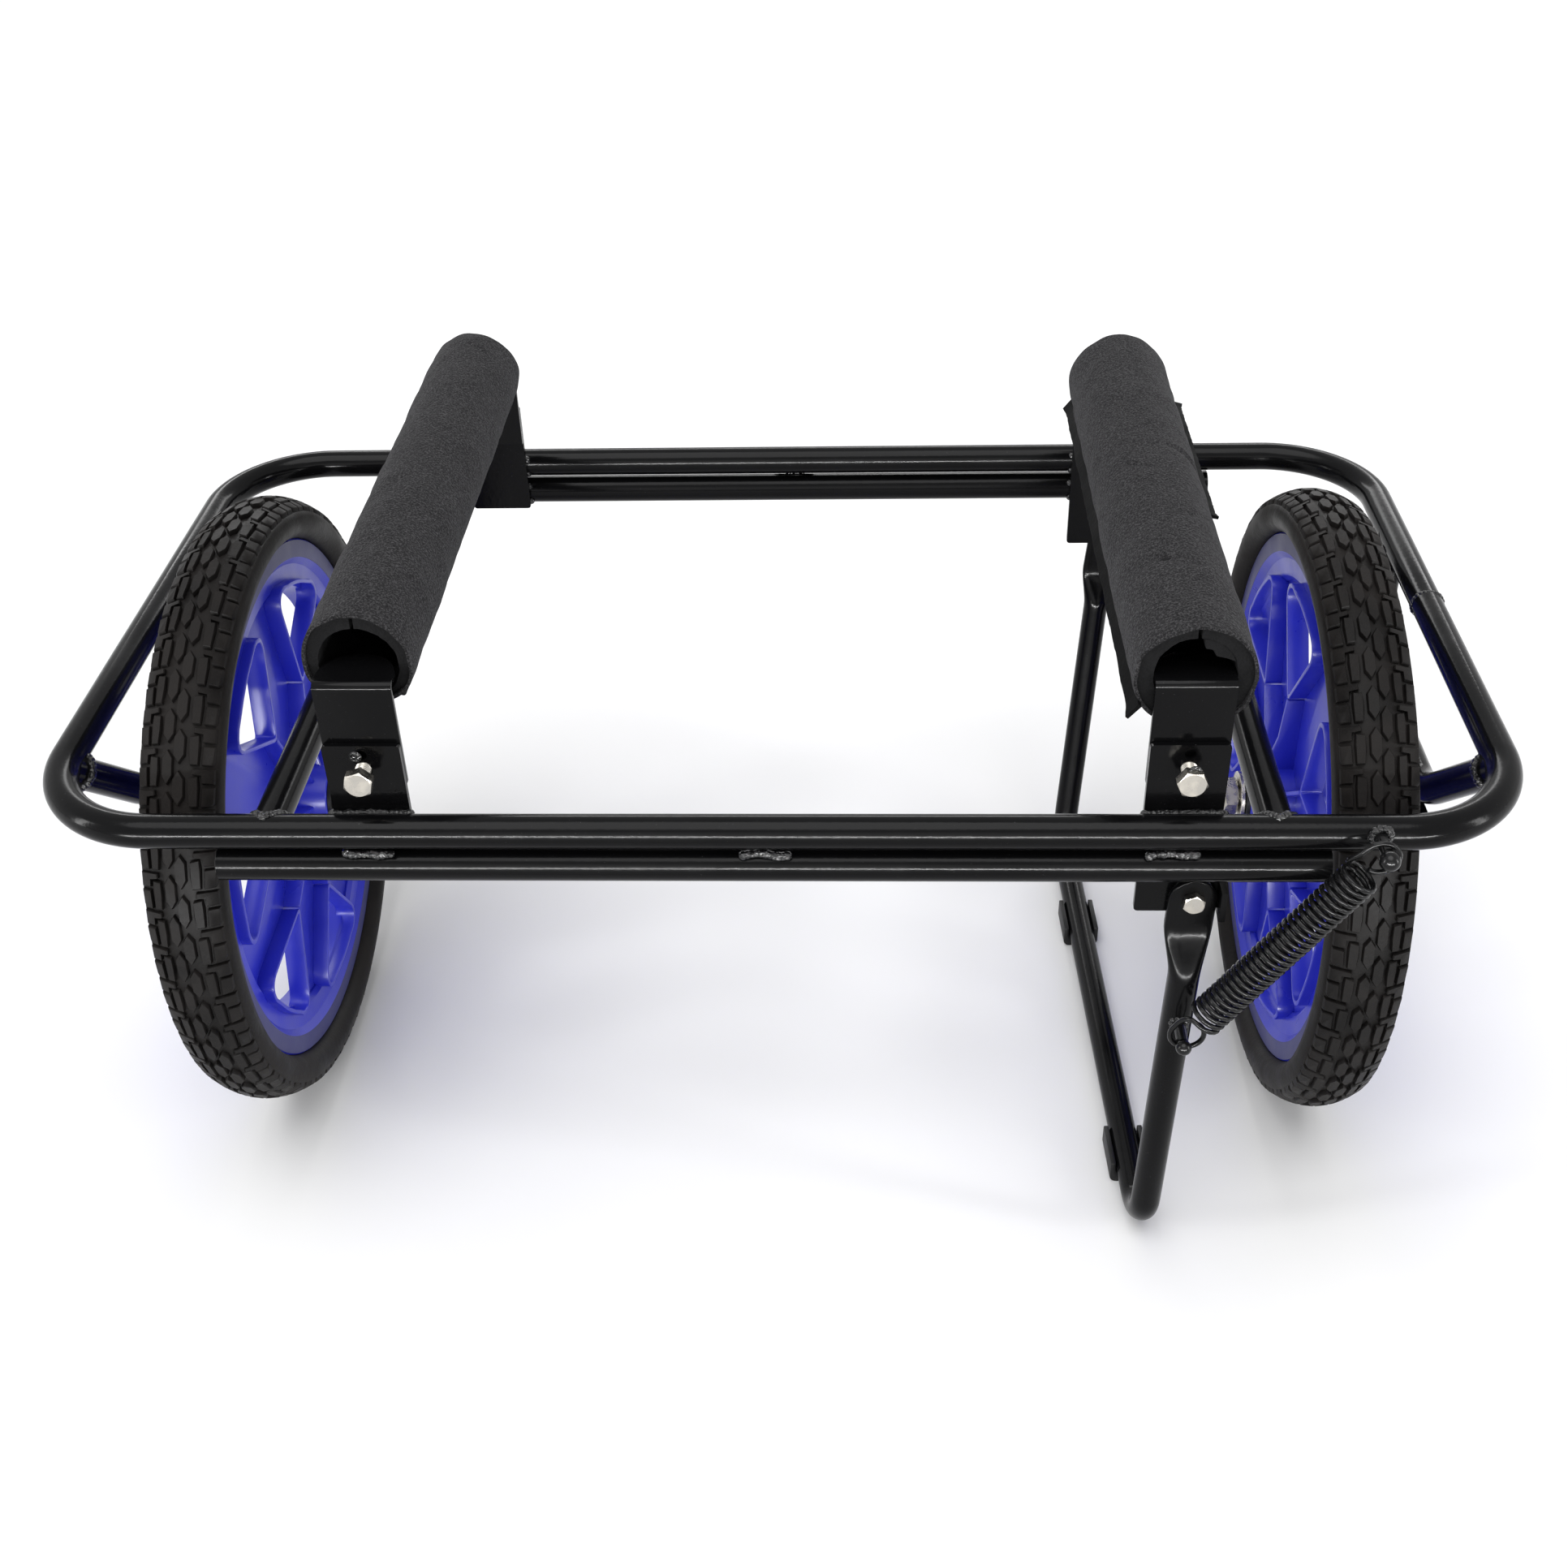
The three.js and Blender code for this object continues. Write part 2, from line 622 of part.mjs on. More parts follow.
function rim(side) {
  const seat = rimDiameter / 2;
  const flange = seat - rimFlangeDepth;
  const barrel = rimBarrelDiameter / 2;
  const ring = turned([
    [seat, -rimFlangeWidth / 2],
    [seat, rimFlangeWidth / 2],
    [flange, rimFlangeWidth / 2],
    [flange - rimFlankSlope, rimBarrelWidth / 2 + rimFlankFoot],
    [barrel, rimBarrelWidth / 2],
    [barrel, -rimBarrelWidth / 2],
    [flange - rimFlankSlope, -rimBarrelWidth / 2 - rimFlankFoot],
    [flange, -rimFlangeWidth / 2],
    [seat, -rimFlangeWidth / 2],
  ], rimFacets, "x");
  const hub = turned([
    [0, -hubHalf],
    [hubDiameter / 2 - hubEndTaper, -hubHalf],
    [hubDiameter / 2, hubTaperLength - hubHalf],
    [hubDiameter / 2, hubHalf - hubTaperLength],
    [hubDiameter / 2 - hubEndTaper, hubHalf],
    [0, hubHalf],
  ], 20, "x");
  const arm = spokeArm();
  let wheel = ring.add(hub);
  for (let i = 0; i < spokeArms; i++) {
    wheel = wheel.add(arm.rotate([(i / spokeArms) * 360, 0, 0]));
  }
  const bore = rod(axleDiameter / 2 + hubBoreGap, -hubWidth, hubWidth, "x", 16);
  const leftPocket = rod(bushDiameter / 2 + seatGap, -hubWidth, -(hubHalf - bushDepth - seatGap), "x", 20);
  const rightPocket = rod(bushDiameter / 2 + seatGap, hubHalf - bushDepth - seatGap, hubWidth, "x", 20);
  return wheelPlace(wheel.subtract(bore).subtract(leftPocket).subtract(rightPocket), side);
}

// A flanged bush pressed into one end of the hub: end is -1 inside the cart and +1 outside.
function hubBush(side, end) {
  const inner = axleDiameter / 2 + seatGap;
  const profile = [
    [inner, hubHalf - bushDepth],
    [bushDiameter / 2, hubHalf - bushDepth],
    [bushDiameter / 2, hubHalf + seatGap],
    [bushFlangeDiameter / 2, hubHalf + seatGap],
    [bushFlangeDiameter / 2, hubHalf + bushFlangeThickness],
    [inner, hubHalf + bushFlangeThickness],
    [inner, hubHalf - bushDepth],
  ].map(([radius, along]) => [radius, end * along]);
  return wheelPlace(turned(profile, 16, "x"), side);
}

// Across the tyre from bead to bead. Stations alternate between a cut across the centre blocks
// and a notch in the shoulder blocks.
function tyreSection(notched) {
  const half = wheelWidth / 2;
  const crown = wheelRadius - (notched ? 0 : treadDepth);
  const shoulder = wheelRadius - shoulderDrop - (notched ? treadDepth : 0);
  const edge = wheelRadius - shoulderEdgeDrop - (notched ? treadDepth : 0);
  const groove = notched ? grooveAtNotch : grooveAtBlock;
  const bead = rimDiameter / 2 + seatGap;
  const across = [
    [rimFlangeWidth / 2 - beadInset, bead],
    [half, sidewallRadius],
    [half - shoulderEdgeInset, edge],
    [groove + grooveFlank, shoulder],
    [groove, wheelRadius - shoulderDrop - treadDepth],
    [groove - grooveFlank, crown],
  ];
  const mirrored = across.map(([x, radius]) => [-x, radius]).reverse();
  return across.concat(mirrored);
}

function tyre(side) {
  const stations = treadPitches * 2;
  const sections = [];
  for (let i = 0; i < stations; i++) {
    const angle = ((i - 1) / stations) * Math.PI * 2 - Math.PI / 2;
    sections.push(tyreSection(i % 2 === 1).map(([x, radius]) => new THREE.Vector3(
      x,
      radius * Math.cos(angle),
      radius * Math.sin(angle),
    )));
  }
  return wheelPlace(solidFrom(loft(sections, true)), side);
}

// Hull rests. What stands at the front is repeated, turned round, at the rear.

function atEnd(solid, end) {
  return end < 0 ? solid : solid.scale([1, -1, 1]);
}

function bunkPlate(x, bottom, end) {
  const half = strapWidth / 2;
  const shape = roundedRectangle(x - half, bottom, x + half, plateTop, plateCornerRadius);
  addRoundHole(shape, x, bunkBoltHeight, bunkScrew.diameter + 2 * holeGap);
  addRoundHole(shape, x, bunkBoltHeight + spareHoleRise, spareHoleDiameter);
  if (bottom < standPivotHeight) {
    addRoundHole(shape, standPivotX, standPivotHeight, pivotScrew.diameter + 2 * holeGap);
  }
  return atEnd(plateAcross(shape, -plateOuterY, -plateInnerY), end);
}

// The tab that the deployed stand's front leg comes up against.
function standStop() {
  const face = standPivotX + standFlatWidth / 2 + holeGap;
  const plateEdge = rightBunkX + strapWidth / 2;
  const bottom = standPivotHeight - standStopHeight / 2;
  const top = bottom + standStopHeight;
  const front = -(plateOuterY + standStopReach);
  const arm = block(plateEdge - 1, face + strapThickness, -plateOuterY, -plateInnerY, bottom, top);
  return arm.add(block(face, face + strapThickness, front, -plateInnerY, bottom, top));
}

function bracketProfile() {
  const inner = bracketBendRadius;
  const outer = inner + strapThickness;
  const shape = new THREE.Shape();
  shape.moveTo(-bracketOuterY, bracketBottom);
  shape.lineTo(-bracketInnerY, bracketBottom);
  shape.lineTo(-bracketInnerY, bracketTop - outer);
  shape.absarc(-bracketInnerY + inner, bracketTop - outer, inner, Math.PI, Math.PI / 2, true);
  shape.lineTo(-bracketOuterY + tongueReach, bracketTop - strapThickness);
  shape.lineTo(-bracketOuterY + tongueReach, bracketTop);
  shape.lineTo(-bracketOuterY + outer, bracketTop);
  shape.absarc(-bracketOuterY + outer, bracketTop - outer, outer, Math.PI / 2, Math.PI);
  return new THREE.Shape(shape.getPoints(3));
}

// An angle of strap with its tongue rounded off.
function bunkBracket(x, end) {
  const half = strapWidth / 2;
  const strap = plateAlong(bracketProfile(), x - half, x + half);
  const plan = new THREE.Shape();
  plan.moveTo(x - half, -bracketOuterY - 1);
  plan.lineTo(x + half, -bracketOuterY - 1);
  plan.absarc(x, -bracketOuterY + tongueReach - half, half, 0, Math.PI);
  const blank = new THREE.ExtrudeGeometry(new THREE.Shape(plan.getPoints(10)), {
    depth: bracketTop - bracketBottom + 2,
    bevelEnabled: false,
  });
  blank.translate(0, 0, bracketBottom - 1);
  const hole = rod(bunkScrew.diameter / 2 + holeGap, -frameWidth, 0, "y").translate([x, 0, bunkBoltHeight]);
  return atEnd(strap.intersect(solidFrom(blank)).subtract(hole), end);
}

function bunkBar(x) {
  const radius = bunkTubeDiameter / 2;
  const half = bunkTubeLength / 2;
  const height = bracketTop - strapThickness - radius + tongueWeldSink;
  const tube = rod(radius, -half, half, "y").subtract(rod(radius - tubeWall, -half - 1, half + 1, "y"));
  return tube.translate([x, 0, height]).add(bunkBracket(x, -1)).add(bunkBracket(x, 1));
}

// A ring of soft material round the bunk bar. The outline is a circle and the bore an oval.
function roll(radius, bore, front, rear, sides) {
  const shape = circleShape(radius, sides);
  shape.holes.push(new THREE.Path(bore));
  return plateAcross(shape, front, rear);
}

function foamRoll(x, pad) {
  const barBottom = bracketTop - strapThickness - bunkTubeDiameter + tongueWeldSink;
  const boreMiddle = barBottom - seatGap + foamBoreHeight / 2 - pad.height;
  const bore = ringPoints(foamBoreWidth / 2, foamBoreHeight / 2, 24);
  bore.forEach((point) => point.set(point.x, point.y + boreMiddle));
  const radius = pad.diameter / 2 - coverThickness - seatGap;
  const front = pad.frontSetIn - railY + foamSetBack;
  const rear = railY - pad.rearSetIn - foamSetBack;
  const slitHalf = foamSlitWidth / 2;
  const slit = block(-slitHalf, slitHalf, front - 1, rear + 1, boreMiddle + foamBoreHeight / 4, radius + 1);
  return roll(radius, bore, front, rear, padFacets).subtract(slit).translate([x, 0, pad.height]);
}

function padCover(x, pad) {
  const inner = pad.diameter / 2 - coverThickness;
  const front = pad.frontSetIn - railY;
  const rear = railY - pad.rearSetIn;
  const solid = roll(pad.diameter / 2, ringPoints(inner, inner, padFacets), front, rear, padFacets);
  return solid.translate([x, 0, pad.height]);
}

// A hexagon-headed screw with its head towards the front, and its nut behind the last plate.
function screw(size, x, height, headUnderside, tail, end) {
  const head = hexagon(size.headWidth, -headUnderside - size.headHeight, -headUnderside, "y");
  const shank = rod(size.diameter / 2, -headUnderside - size.headHeight / 2, -tail, "y");
  return atEnd(head.add(shank).translate([x, 0, height]), end);
}

function nut(size, x, height, seat, end) {
  const body = hexagon(size.headWidth, -seat, -seat + size.nutHeight, "y");
  const bore = rod(size.diameter / 2 + seatGap, -seat - 1, -seat + size.nutHeight + 1, "y");
  return atEnd(body.subtract(bore).translate([x, 0, height]), end);
}

function bunkBolt(x, end) {
  const tail = bracketInnerY - seatGap - bunkScrew.nutHeight - screwTailBeyondNut;
  return screw(bunkScrew, x, bunkBoltHeight, plateOuterY + bunkScrewProud, tail, end);
}

function pivotBolt(end) {
  const headUnderside = plateOuterY + seatGap + standFlatThickness + seatGap;
  const tail = plateInnerY - seatGap - pivotScrew.nutHeight - screwTailBeyondNut;
  return screw(pivotScrew, standPivotX, standPivotHeight, headUnderside, tail, end);
}

// Kickstand

function tubeSection(centre, tangent, halfWidth, halfThickness, squareness = 1) {
  const along = tangent.clone().normalize();
  const across = new THREE.Vector3(1, 0, 0);
  across.addScaledVector(along, -across.dot(along)).normalize();
  const through = along.clone().cross(across);
  return ringPoints(halfWidth, halfThickness, 12, squareness).map((point) => (
    centre.clone().addScaledVector(across, point.x).addScaledVector(through, point.y)
  ));
}

// A leg's flattened top from its rounded end down to the round tube, as sections in order.
function flattenedTop(legX, legY, side, flatBottom, grow) {
  const half = standFlatWidth / 2 + grow;
  const thin = standFlatThickness / 2 + grow;
  const round = standTubeDiameter / 2 + grow;
  const down = new THREE.Vector3(0, 0, -1);
  const taperBottom = flatBottom - standTaperLength;
  const flatY = side * standFlatY;
  const sections = standTipAngles.map((degrees) => {
    const angle = (degrees * Math.PI) / 180;
    const height = standPivotHeight + half * Math.cos(angle);
    const middle = new THREE.Vector3(legX(height), flatY, height);
    return tubeSection(middle, down, half * Math.sin(angle), thin, standFlatSquareness);
  });
  const station = (height, share, squareness) => tubeSection(
    new THREE.Vector3(legX(height), flatY + share * (legY(taperBottom) - flatY), height),
    down,
    half + share * (round - half),
    thin + share * (round - thin),
    squareness,
  );
  sections.push(station(flatBottom, 0, standFlatSquareness));
  sections.push(station(flatBottom - standTaperLength / 2, 0.5, standTaperSquareness));
  sections.push(station(taperBottom, 1, 1));
  return sections;
}

function bail(grow = 0) {
  const front = standFrontCorner;
  const rear = standRearCorner;
  const height = standBottomHeight - standPivotHeight;
  const straight = (from, to) => (z) => from + ((to - from) * (z - standPivotHeight)) / height;
  const frontX = straight(standPivotX, front.x);
  const frontY = straight(standFrontY, front.y);
  const rearX = straight(standPivotX, rear.x);
  const rearY = straight(-standFrontY, rear.y);
  const frontFlatBottom = standPivotHeight - standFrontFlatLength;
  const rearFlatBottom = standPivotHeight - standRearFlatLength;
  const frontTop = frontFlatBottom - standTaperLength;
  const rearTop = rearFlatBottom - standTaperLength;
  const line = bentLine([
    { at: new THREE.Vector3(frontX(frontTop), frontY(frontTop), frontTop) },
    { at: new THREE.Vector3(front.x, front.y, standBottomHeight), bend: front.bend },
    { at: new THREE.Vector3(rear.x, rear.y, standBottomHeight), bend: rear.bend },
    { at: new THREE.Vector3(rearX(rearTop), rearY(rearTop), rearTop) },
  ]);
  const radius = standTubeDiameter / 2 + grow;
  const bends = line.stations.slice(1, -1);
  const run = bends.map(({ point, tangent }) => tubeSection(point, tangent, radius, radius));
  const up = (sections) => sections.reverse().map((section) => [
    section[0],
    ...section.slice(1).reverse(),
  ]);
  const sections = [
    ...flattenedTop(frontX, frontY, -1, frontFlatBottom, grow),
    ...run,
    ...up(flattenedTop(rearX, rearY, 1, rearFlatBottom, grow)),
  ];
  const hole = rod(pivotScrew.diameter / 2 + holeGap, -frameWidth, frameWidth, "y");
  const solid = solidFrom(loft(sections));
  return grow > 0 ? solid : solid.subtract(hole.translate([standPivotX, 0, standPivotHeight]));
}

// A saddle clipped round the bottom of the stand, with its sole on the ground.
function standFoot(y) {
  const inner = standTubeDiameter / 2 + seatGap;
  const outer = inner + standFootWall;
  const sole = groundHeight - standBottomHeight;
  const round = standFootCorner;
  const shape = new THREE.Shape();
  shape.moveTo(-outer, standFootRise);
  shape.lineTo(-outer, sole + round);
  shape.absarc(-outer + round, sole + round, round, Math.PI, Math.PI * 1.5);
  shape.absarc(outer - round, sole + round, round, Math.PI * 1.5, Math.PI * 2);
  shape.lineTo(outer, standFootRise);
  shape.lineTo(inner, standFootRise);
  shape.absarc(0, 0, inner, 0, Math.PI, true);
  shape.lineTo(-inner, standFootRise);
  const saddle = plateAcross(new THREE.Shape(shape.getPoints(4)), -standFootLength / 2, standFootLength / 2);
  const run = standRearCorner.y - standFrontCorner.y;
  const slope = (standRearCorner.x - standFrontCorner.x) / run;
  const x = standFrontCorner.x + slope * (y - standFrontCorner.y);
  return saddle.rotate([0, 0, (-Math.atan(slope) * 180) / Math.PI]).translate([x, y, standBottomHeight]);
}

// A round pin along Y with a ball on its front end and a weld bead at its root.
function springPin(x, height, root, headDiameter, keepOut) {
  const radius = springPinDiameter / 2;
  const shaft = rod(radius, pinHeadY, root + radius * 2, "y");
  const head = new THREE.SphereGeometry(headDiameter / 2, 12, 8);
  head.translate(0, pinHeadY, 0);
  const bead = turned([
    [0, root - pinBeadHeight],
    [radius + pinBeadWidth / 3, root - pinBeadHeight],
    [radius + pinBeadWidth, root],
    [radius + pinBeadWidth, root + pinBeadDepth],
    [0, root + pinBeadDepth],
  ], 12, "y");
  return shaft.add(solidFrom(head)).add(bead).translate([x, 0, height]).subtract(keepOut);
}

// Spring. Its middle line runs from the pin on the frame to the pin on the stand. Along is the
// distance from the frame pin on that line, side is in the plane of the two pins, out is along +Y.

const framePinAt = new THREE.Vector3(framePinX, springY, framePinHeight);
const legPinAt = new THREE.Vector3(legPinX, springY, legPinHeight);
const springLength = framePinAt.distanceTo(legPinAt);
const springAlong = legPinAt.clone().sub(framePinAt).normalize();
const springOut = new THREE.Vector3(0, 1, 0);
const springSide = springOut.clone().cross(springAlong).normalize();
const coilRadius = (springCoilDiameter - springWireDiameter) / 2;
// The far side of each end loop hugs its pin.
const loopCentre = coilRadius - springWireDiameter / 2 - springPinDiameter / 2 - seatGap;
const coilStart = loopCentre + coilRadius + springNeckLength;
const coilEnd = springLength - coilStart;
const coilFirstPhase = Math.PI / 4;
const coilLastPhase = coilFirstPhase + (springCoilTurns - 0.5) * Math.PI * 2 - Math.PI / 2 + Math.PI;

function springPoint(along, side, out) {
  return framePinAt.clone()
    .addScaledVector(springAlong, along)
    .addScaledVector(springSide, side)
    .addScaledVector(springOut, out);
}

function springHeading(along, side, out) {
  return new THREE.Vector3()
    .addScaledVector(springAlong, along)
    .addScaledVector(springSide, side)
    .addScaledVector(springOut, out)
    .normalize();
}

// An end loop from its free tip round to where it leaves for the coil. Away is -1 at the frame
// pin, where the loop bulges back from the coil, and +1 at the leg pin.
function loopStations(centre, away) {
  const stations = [];
  for (let i = 0; i <= springLoopSteps; i++) {
    const angle = springLoopSweep * (1 - i / springLoopSteps);
    const point = springPoint(centre + away * coilRadius * Math.sin(angle), coilRadius * Math.cos(angle), 0);
    const tangent = springHeading(-away * Math.cos(angle), Math.sin(angle), 0);
    stations.push({ point, tangent });
  }
  const tip = stations[0];
  stations.unshift({
    point: tip.point.clone().addScaledVector(tip.tangent, -springWireDiameter),
    tangent: tip.tangent,
  });
  return stations;
}

function coilStation(share) {
  const phase = coilFirstPhase + (coilLastPhase - coilFirstPhase) * share;
  const climb = (coilEnd - coilStart) / (coilLastPhase - coilFirstPhase);
  return {
    point: springPoint(
      coilStart + (coilEnd - coilStart) * share,
      coilRadius * Math.cos(phase),
      coilRadius * Math.sin(phase),
    ),
    tangent: springHeading(climb, -coilRadius * Math.sin(phase), coilRadius * Math.cos(phase)),
  };
}

// A smooth bend between two stations, without the stations themselves.
function easeBetween(from, to, steps) {
  const span = from.point.distanceTo(to.point);
  const lead = from.point.clone().addScaledVector(from.tangent, span * 0.4);
  const trail = to.point.clone().addScaledVector(to.tangent, -span * 0.4);
  const curve = new THREE.CubicBezierCurve3(from.point, lead, trail, to.point);
  const stations = [];
  for (let i = 1; i < steps; i++) {
    stations.push({ point: curve.getPoint(i / steps), tangent: curve.getTangent(i / steps) });
  }
  return stations;
}

function reversed(stations) {
  return [...stations].reverse().map(({ point, tangent }) => ({ point, tangent: tangent.clone().negate() }));
}

// The loop on the frame pin and the whole coil, as one wire.
function springStations() {
  const loop = loopStations(loopCentre, -1);
  const coil = [];
  const steps = Math.round(((coilLastPhase - coilFirstPhase) / (Math.PI * 2)) * springStepsPerTurn);
  for (let i = 0; i <= steps; i++) coil.push(coilStation(i / steps));
  const last = coil[coil.length - 1];
  const end = {
    point: last.point.clone().addScaledVector(last.tangent, springWireDiameter),
    tangent: last.tangent,
  };
  return [...loop, ...easeBetween(loop[loop.length - 1], coil[0], 5), ...coil, end];
}

// The loop on the leg pin, which carries on from the coil's lower end.
function lowerHookStations() {
  const last = coilStation(1);
  const start = {
    point: last.point.clone().addScaledVector(last.tangent, springWireDiameter + seatGap),
    tangent: last.tangent,
  };
  const straight = {
    point: start.point.clone().addScaledVector(start.tangent, springWireDiameter),
    tangent: start.tangent,
  };
  const loop = reversed(loopStations(springLength - loopCentre, 1));
  return [start, straight, ...easeBetween(straight, loop[0], 5), ...loop];
}

function wire(stations) {
  return bentTube(new StationLine(stations), springWireDiameter, 5);
}

// The least gap between parts of the wire that aren't neighbours along it.
function leastGap(stations) {
  const travelled = [0];
  for (let i = 1; i < stations.length; i++) {
    travelled.push(travelled[i - 1] + stations[i].point.distanceTo(stations[i - 1].point));
  }
  let least = Infinity;
  for (let i = 0; i < stations.length; i++) {
    for (let j = i + 1; j < stations.length; j++) {
      const apart = travelled[j] - travelled[i] > 4 * springWireDiameter;
      if (apart) least = Math.min(least, stations[i].point.distanceTo(stations[j].point));
    }
  }
  return least - springWireDiameter;
}

// The cart

const cart = new THREE.Group();
cart.position.set(0, -(framePinFrontY + railFrontY) / 2, -groundHeight);

function add(name, solid, finish) {
  const material = new THREE.MeshStandardMaterial({
    color: finish.colour,
    roughness: finish.roughness,
    metalness: finish.metalness,
  });
  const mesh = new THREE.Mesh(geometryFrom(solid), material);
  mesh.name = name;
  cart.add(mesh);
}

const sides = [{ name: "left", side: -1 }, { name: "right", side: 1 }];
const ends = [{ name: "front", end: -1 }, { name: "rear", end: 1 }];
const bunks = [
  { name: "left", x: leftBunkX, plateBottom: leftPlateBottom, pad: leftPad },
  { name: "right", x: rightBunkX, plateBottom: rightPlateBottom, pad: rightPad },
];

add("frame_loop", frameLoop(), paint);
ends.forEach(({ name, end }) => add(`${name}_lower_rail`, lowerRail(end), paint));

sides.forEach(({ name, side }) => {
  add(`${name}_inner_strut`, innerStrut(side), paint);
  add(`${name}_axle_hanger`, axleHanger(side), paint);
  add(`${name}_axle_plate`, axlePlate(side), paint);
  add(`${name}_axle`, axle(side), zinc);
  add(`${name}_axle_washer`, axleWasher(side), zinc);
  add(`${name}_axle_nut`, axleNut(side), zinc);
  add(`${name}_tyre`, tyre(side), rubber);
  add(`${name}_rim`, rim(side), plastic);
  add(`${name}_inner_bush`, hubBush(side, -1), bushPlastic);
  add(`${name}_outer_bush`, hubBush(side, 1), bushPlastic);
});

bunks.forEach(({ name, x, plateBottom, pad }) => {
  ends.forEach(({ name: endName, end }) => {
    const plate = bunkPlate(x, plateBottom, end);
    const carriesStop = x === rightBunkX && end < 0;
    add(`${endName}_${name}_bunk_plate`, carriesStop ? plate.add(standStop()) : plate, paint);
    add(`${endName}_${name}_bunk_bolt`, bunkBolt(x, end), zinc);
    add(`${endName}_${name}_bunk_nut`, nut(bunkScrew, x, bunkBoltHeight, bracketInnerY - seatGap, end), zinc);
  });
  add(`${name}_bunk_bar`, bunkBar(x), paint);
  add(`${name}_foam_roll`, foamRoll(x, pad), foam);
  add(`${name}_pad_cover`, padCover(x, pad), fabric);
});

ends.forEach(({ name, end }) => {
  add(`${name}_pivot_bolt`, pivotBolt(end), zinc);
  add(`${name}_pivot_nut`, nut(pivotScrew, standPivotX, standPivotHeight, plateInnerY - seatGap, end), zinc);
});
add("kickstand_bail", bail(), paint);
add("front_foot", standFoot(frontFootY), bushPlastic);
add("rear_foot", standFoot(rearFootY), bushPlastic);

const framePin = springPin(framePinX, framePinHeight, -railFrontY, framePinHeadDiameter, loopKeepOut);
const legPin = springPin(legPinX, legPinHeight, legPinRootY, legPinHeadDiameter, bail(seatGap));
add("spring_frame_pin", framePin, paint);
add("spring_leg_pin", legPin, paint);
add("kickstand_spring", wire(springStations()), paint);
add("spring_lower_hook", wire(lowerHookStations()), paint);
console.log(`least gap of the spring's wire to itself: ${leastGap(springStations()).toFixed(2)} mm`);

export default cart;
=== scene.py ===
import json
import math
import bmesh
import bpy
from mathutils import Matrix, Vector, noise


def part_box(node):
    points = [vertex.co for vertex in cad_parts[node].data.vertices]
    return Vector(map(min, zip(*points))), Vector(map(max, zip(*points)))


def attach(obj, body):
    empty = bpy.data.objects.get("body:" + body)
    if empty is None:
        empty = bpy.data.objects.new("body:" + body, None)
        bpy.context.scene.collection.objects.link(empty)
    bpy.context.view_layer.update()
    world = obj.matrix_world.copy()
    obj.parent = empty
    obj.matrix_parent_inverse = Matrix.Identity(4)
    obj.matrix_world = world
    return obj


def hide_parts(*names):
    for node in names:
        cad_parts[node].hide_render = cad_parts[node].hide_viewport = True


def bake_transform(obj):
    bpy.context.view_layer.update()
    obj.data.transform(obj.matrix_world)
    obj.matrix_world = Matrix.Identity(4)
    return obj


# A kayak cart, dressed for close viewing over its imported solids.
# Metres. +Z is up, +X is the cart's right and +Y its rear.

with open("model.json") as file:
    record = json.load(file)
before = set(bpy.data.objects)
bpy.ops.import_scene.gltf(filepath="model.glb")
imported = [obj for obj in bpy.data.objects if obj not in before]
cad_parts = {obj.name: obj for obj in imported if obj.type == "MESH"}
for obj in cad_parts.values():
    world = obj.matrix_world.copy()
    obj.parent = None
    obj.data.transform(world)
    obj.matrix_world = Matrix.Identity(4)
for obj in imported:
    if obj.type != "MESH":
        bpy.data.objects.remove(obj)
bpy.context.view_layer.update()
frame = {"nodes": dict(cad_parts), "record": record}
print("scene: frame loaded")

# Places taken from the solids

cartSides = {"left": -1, "right": 1}
cartEnds = {"front": -1, "rear": 1}
origin = Vector((0, 0, 0))
rightward = Vector((1, 0, 0))
rearward = Vector((0, 1, 0))

loopLow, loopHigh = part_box("frame_loop")
tubeRadius = 0.00875
tubeWall = 0.0015
tubeSides = 36
strapWidth = 0.038
railHeight = (loopLow.z + loopHigh.z) / 2
middleY = (loopLow.y + loopHigh.y) / 2
railY = (loopHigh.y - loopLow.y) / 2 - tubeRadius
sideRailX = -loopLow.x - tubeRadius
seat = 0.0003


def middleOf(node):
    low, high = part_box(node)
    return (low + high) / 2


def spanOf(node):
    low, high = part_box(node)
    return high - low


def framePoint(x, y, z):
    # a point given from the middle of the frame loop
    return Vector((x, middleY + y, railHeight + z))


# Mesh tools

def addObject(name, data):
    obj = bpy.data.objects.new(name, data)
    bpy.context.scene.collection.objects.link(obj)
    return obj


def newObject(name, vertices, faces, material, smoothAngle=35):
    mesh = bpy.data.meshes.new(name)
    mesh.from_pydata([tuple(vertex) for vertex in vertices], [], faces)
    mesh.validate()
    mesh.materials.append(material)
    shadeSmooth(mesh, smoothAngle)
    return addObject(name, mesh)


def shadeSmooth(mesh, angle):
    for polygon in mesh.polygons:
        polygon.use_smooth = True
    mesh.set_sharp_from_angle(angle=math.radians(angle))


def applyModifiers(obj):
    bpy.context.view_layer.update()
    graph = bpy.context.evaluated_depsgraph_get()
    mesh = bpy.data.meshes.new_from_object(obj.evaluated_get(graph))
    obj.modifiers.clear()
    obj.data = mesh
    return obj


def recalculateNormals(obj):
    form = bmesh.new()
    form.from_mesh(obj.data)
    bmesh.ops.recalc_face_normals(form, faces=form.faces)
    form.to_mesh(obj.data)
    form.free()
    return obj


def bevelEdges(obj, width, angle):
    modifier = obj.modifiers.new("bevel", "BEVEL")
    modifier.width = width
    modifier.segments = 2
    modifier.limit_method = "ANGLE"
    modifier.angle_limit = math.radians(angle)
    return obj


def bevel(obj, width, angle):
    return applyModifiers(bevelEdges(obj, width, angle))


def move(obj, x, y, z):
    obj.data.transform(Matrix.Translation((x, y, z)))


def rotate(obj, angle, axis):
    obj.data.transform(Matrix.Rotation(angle, 4, axis))


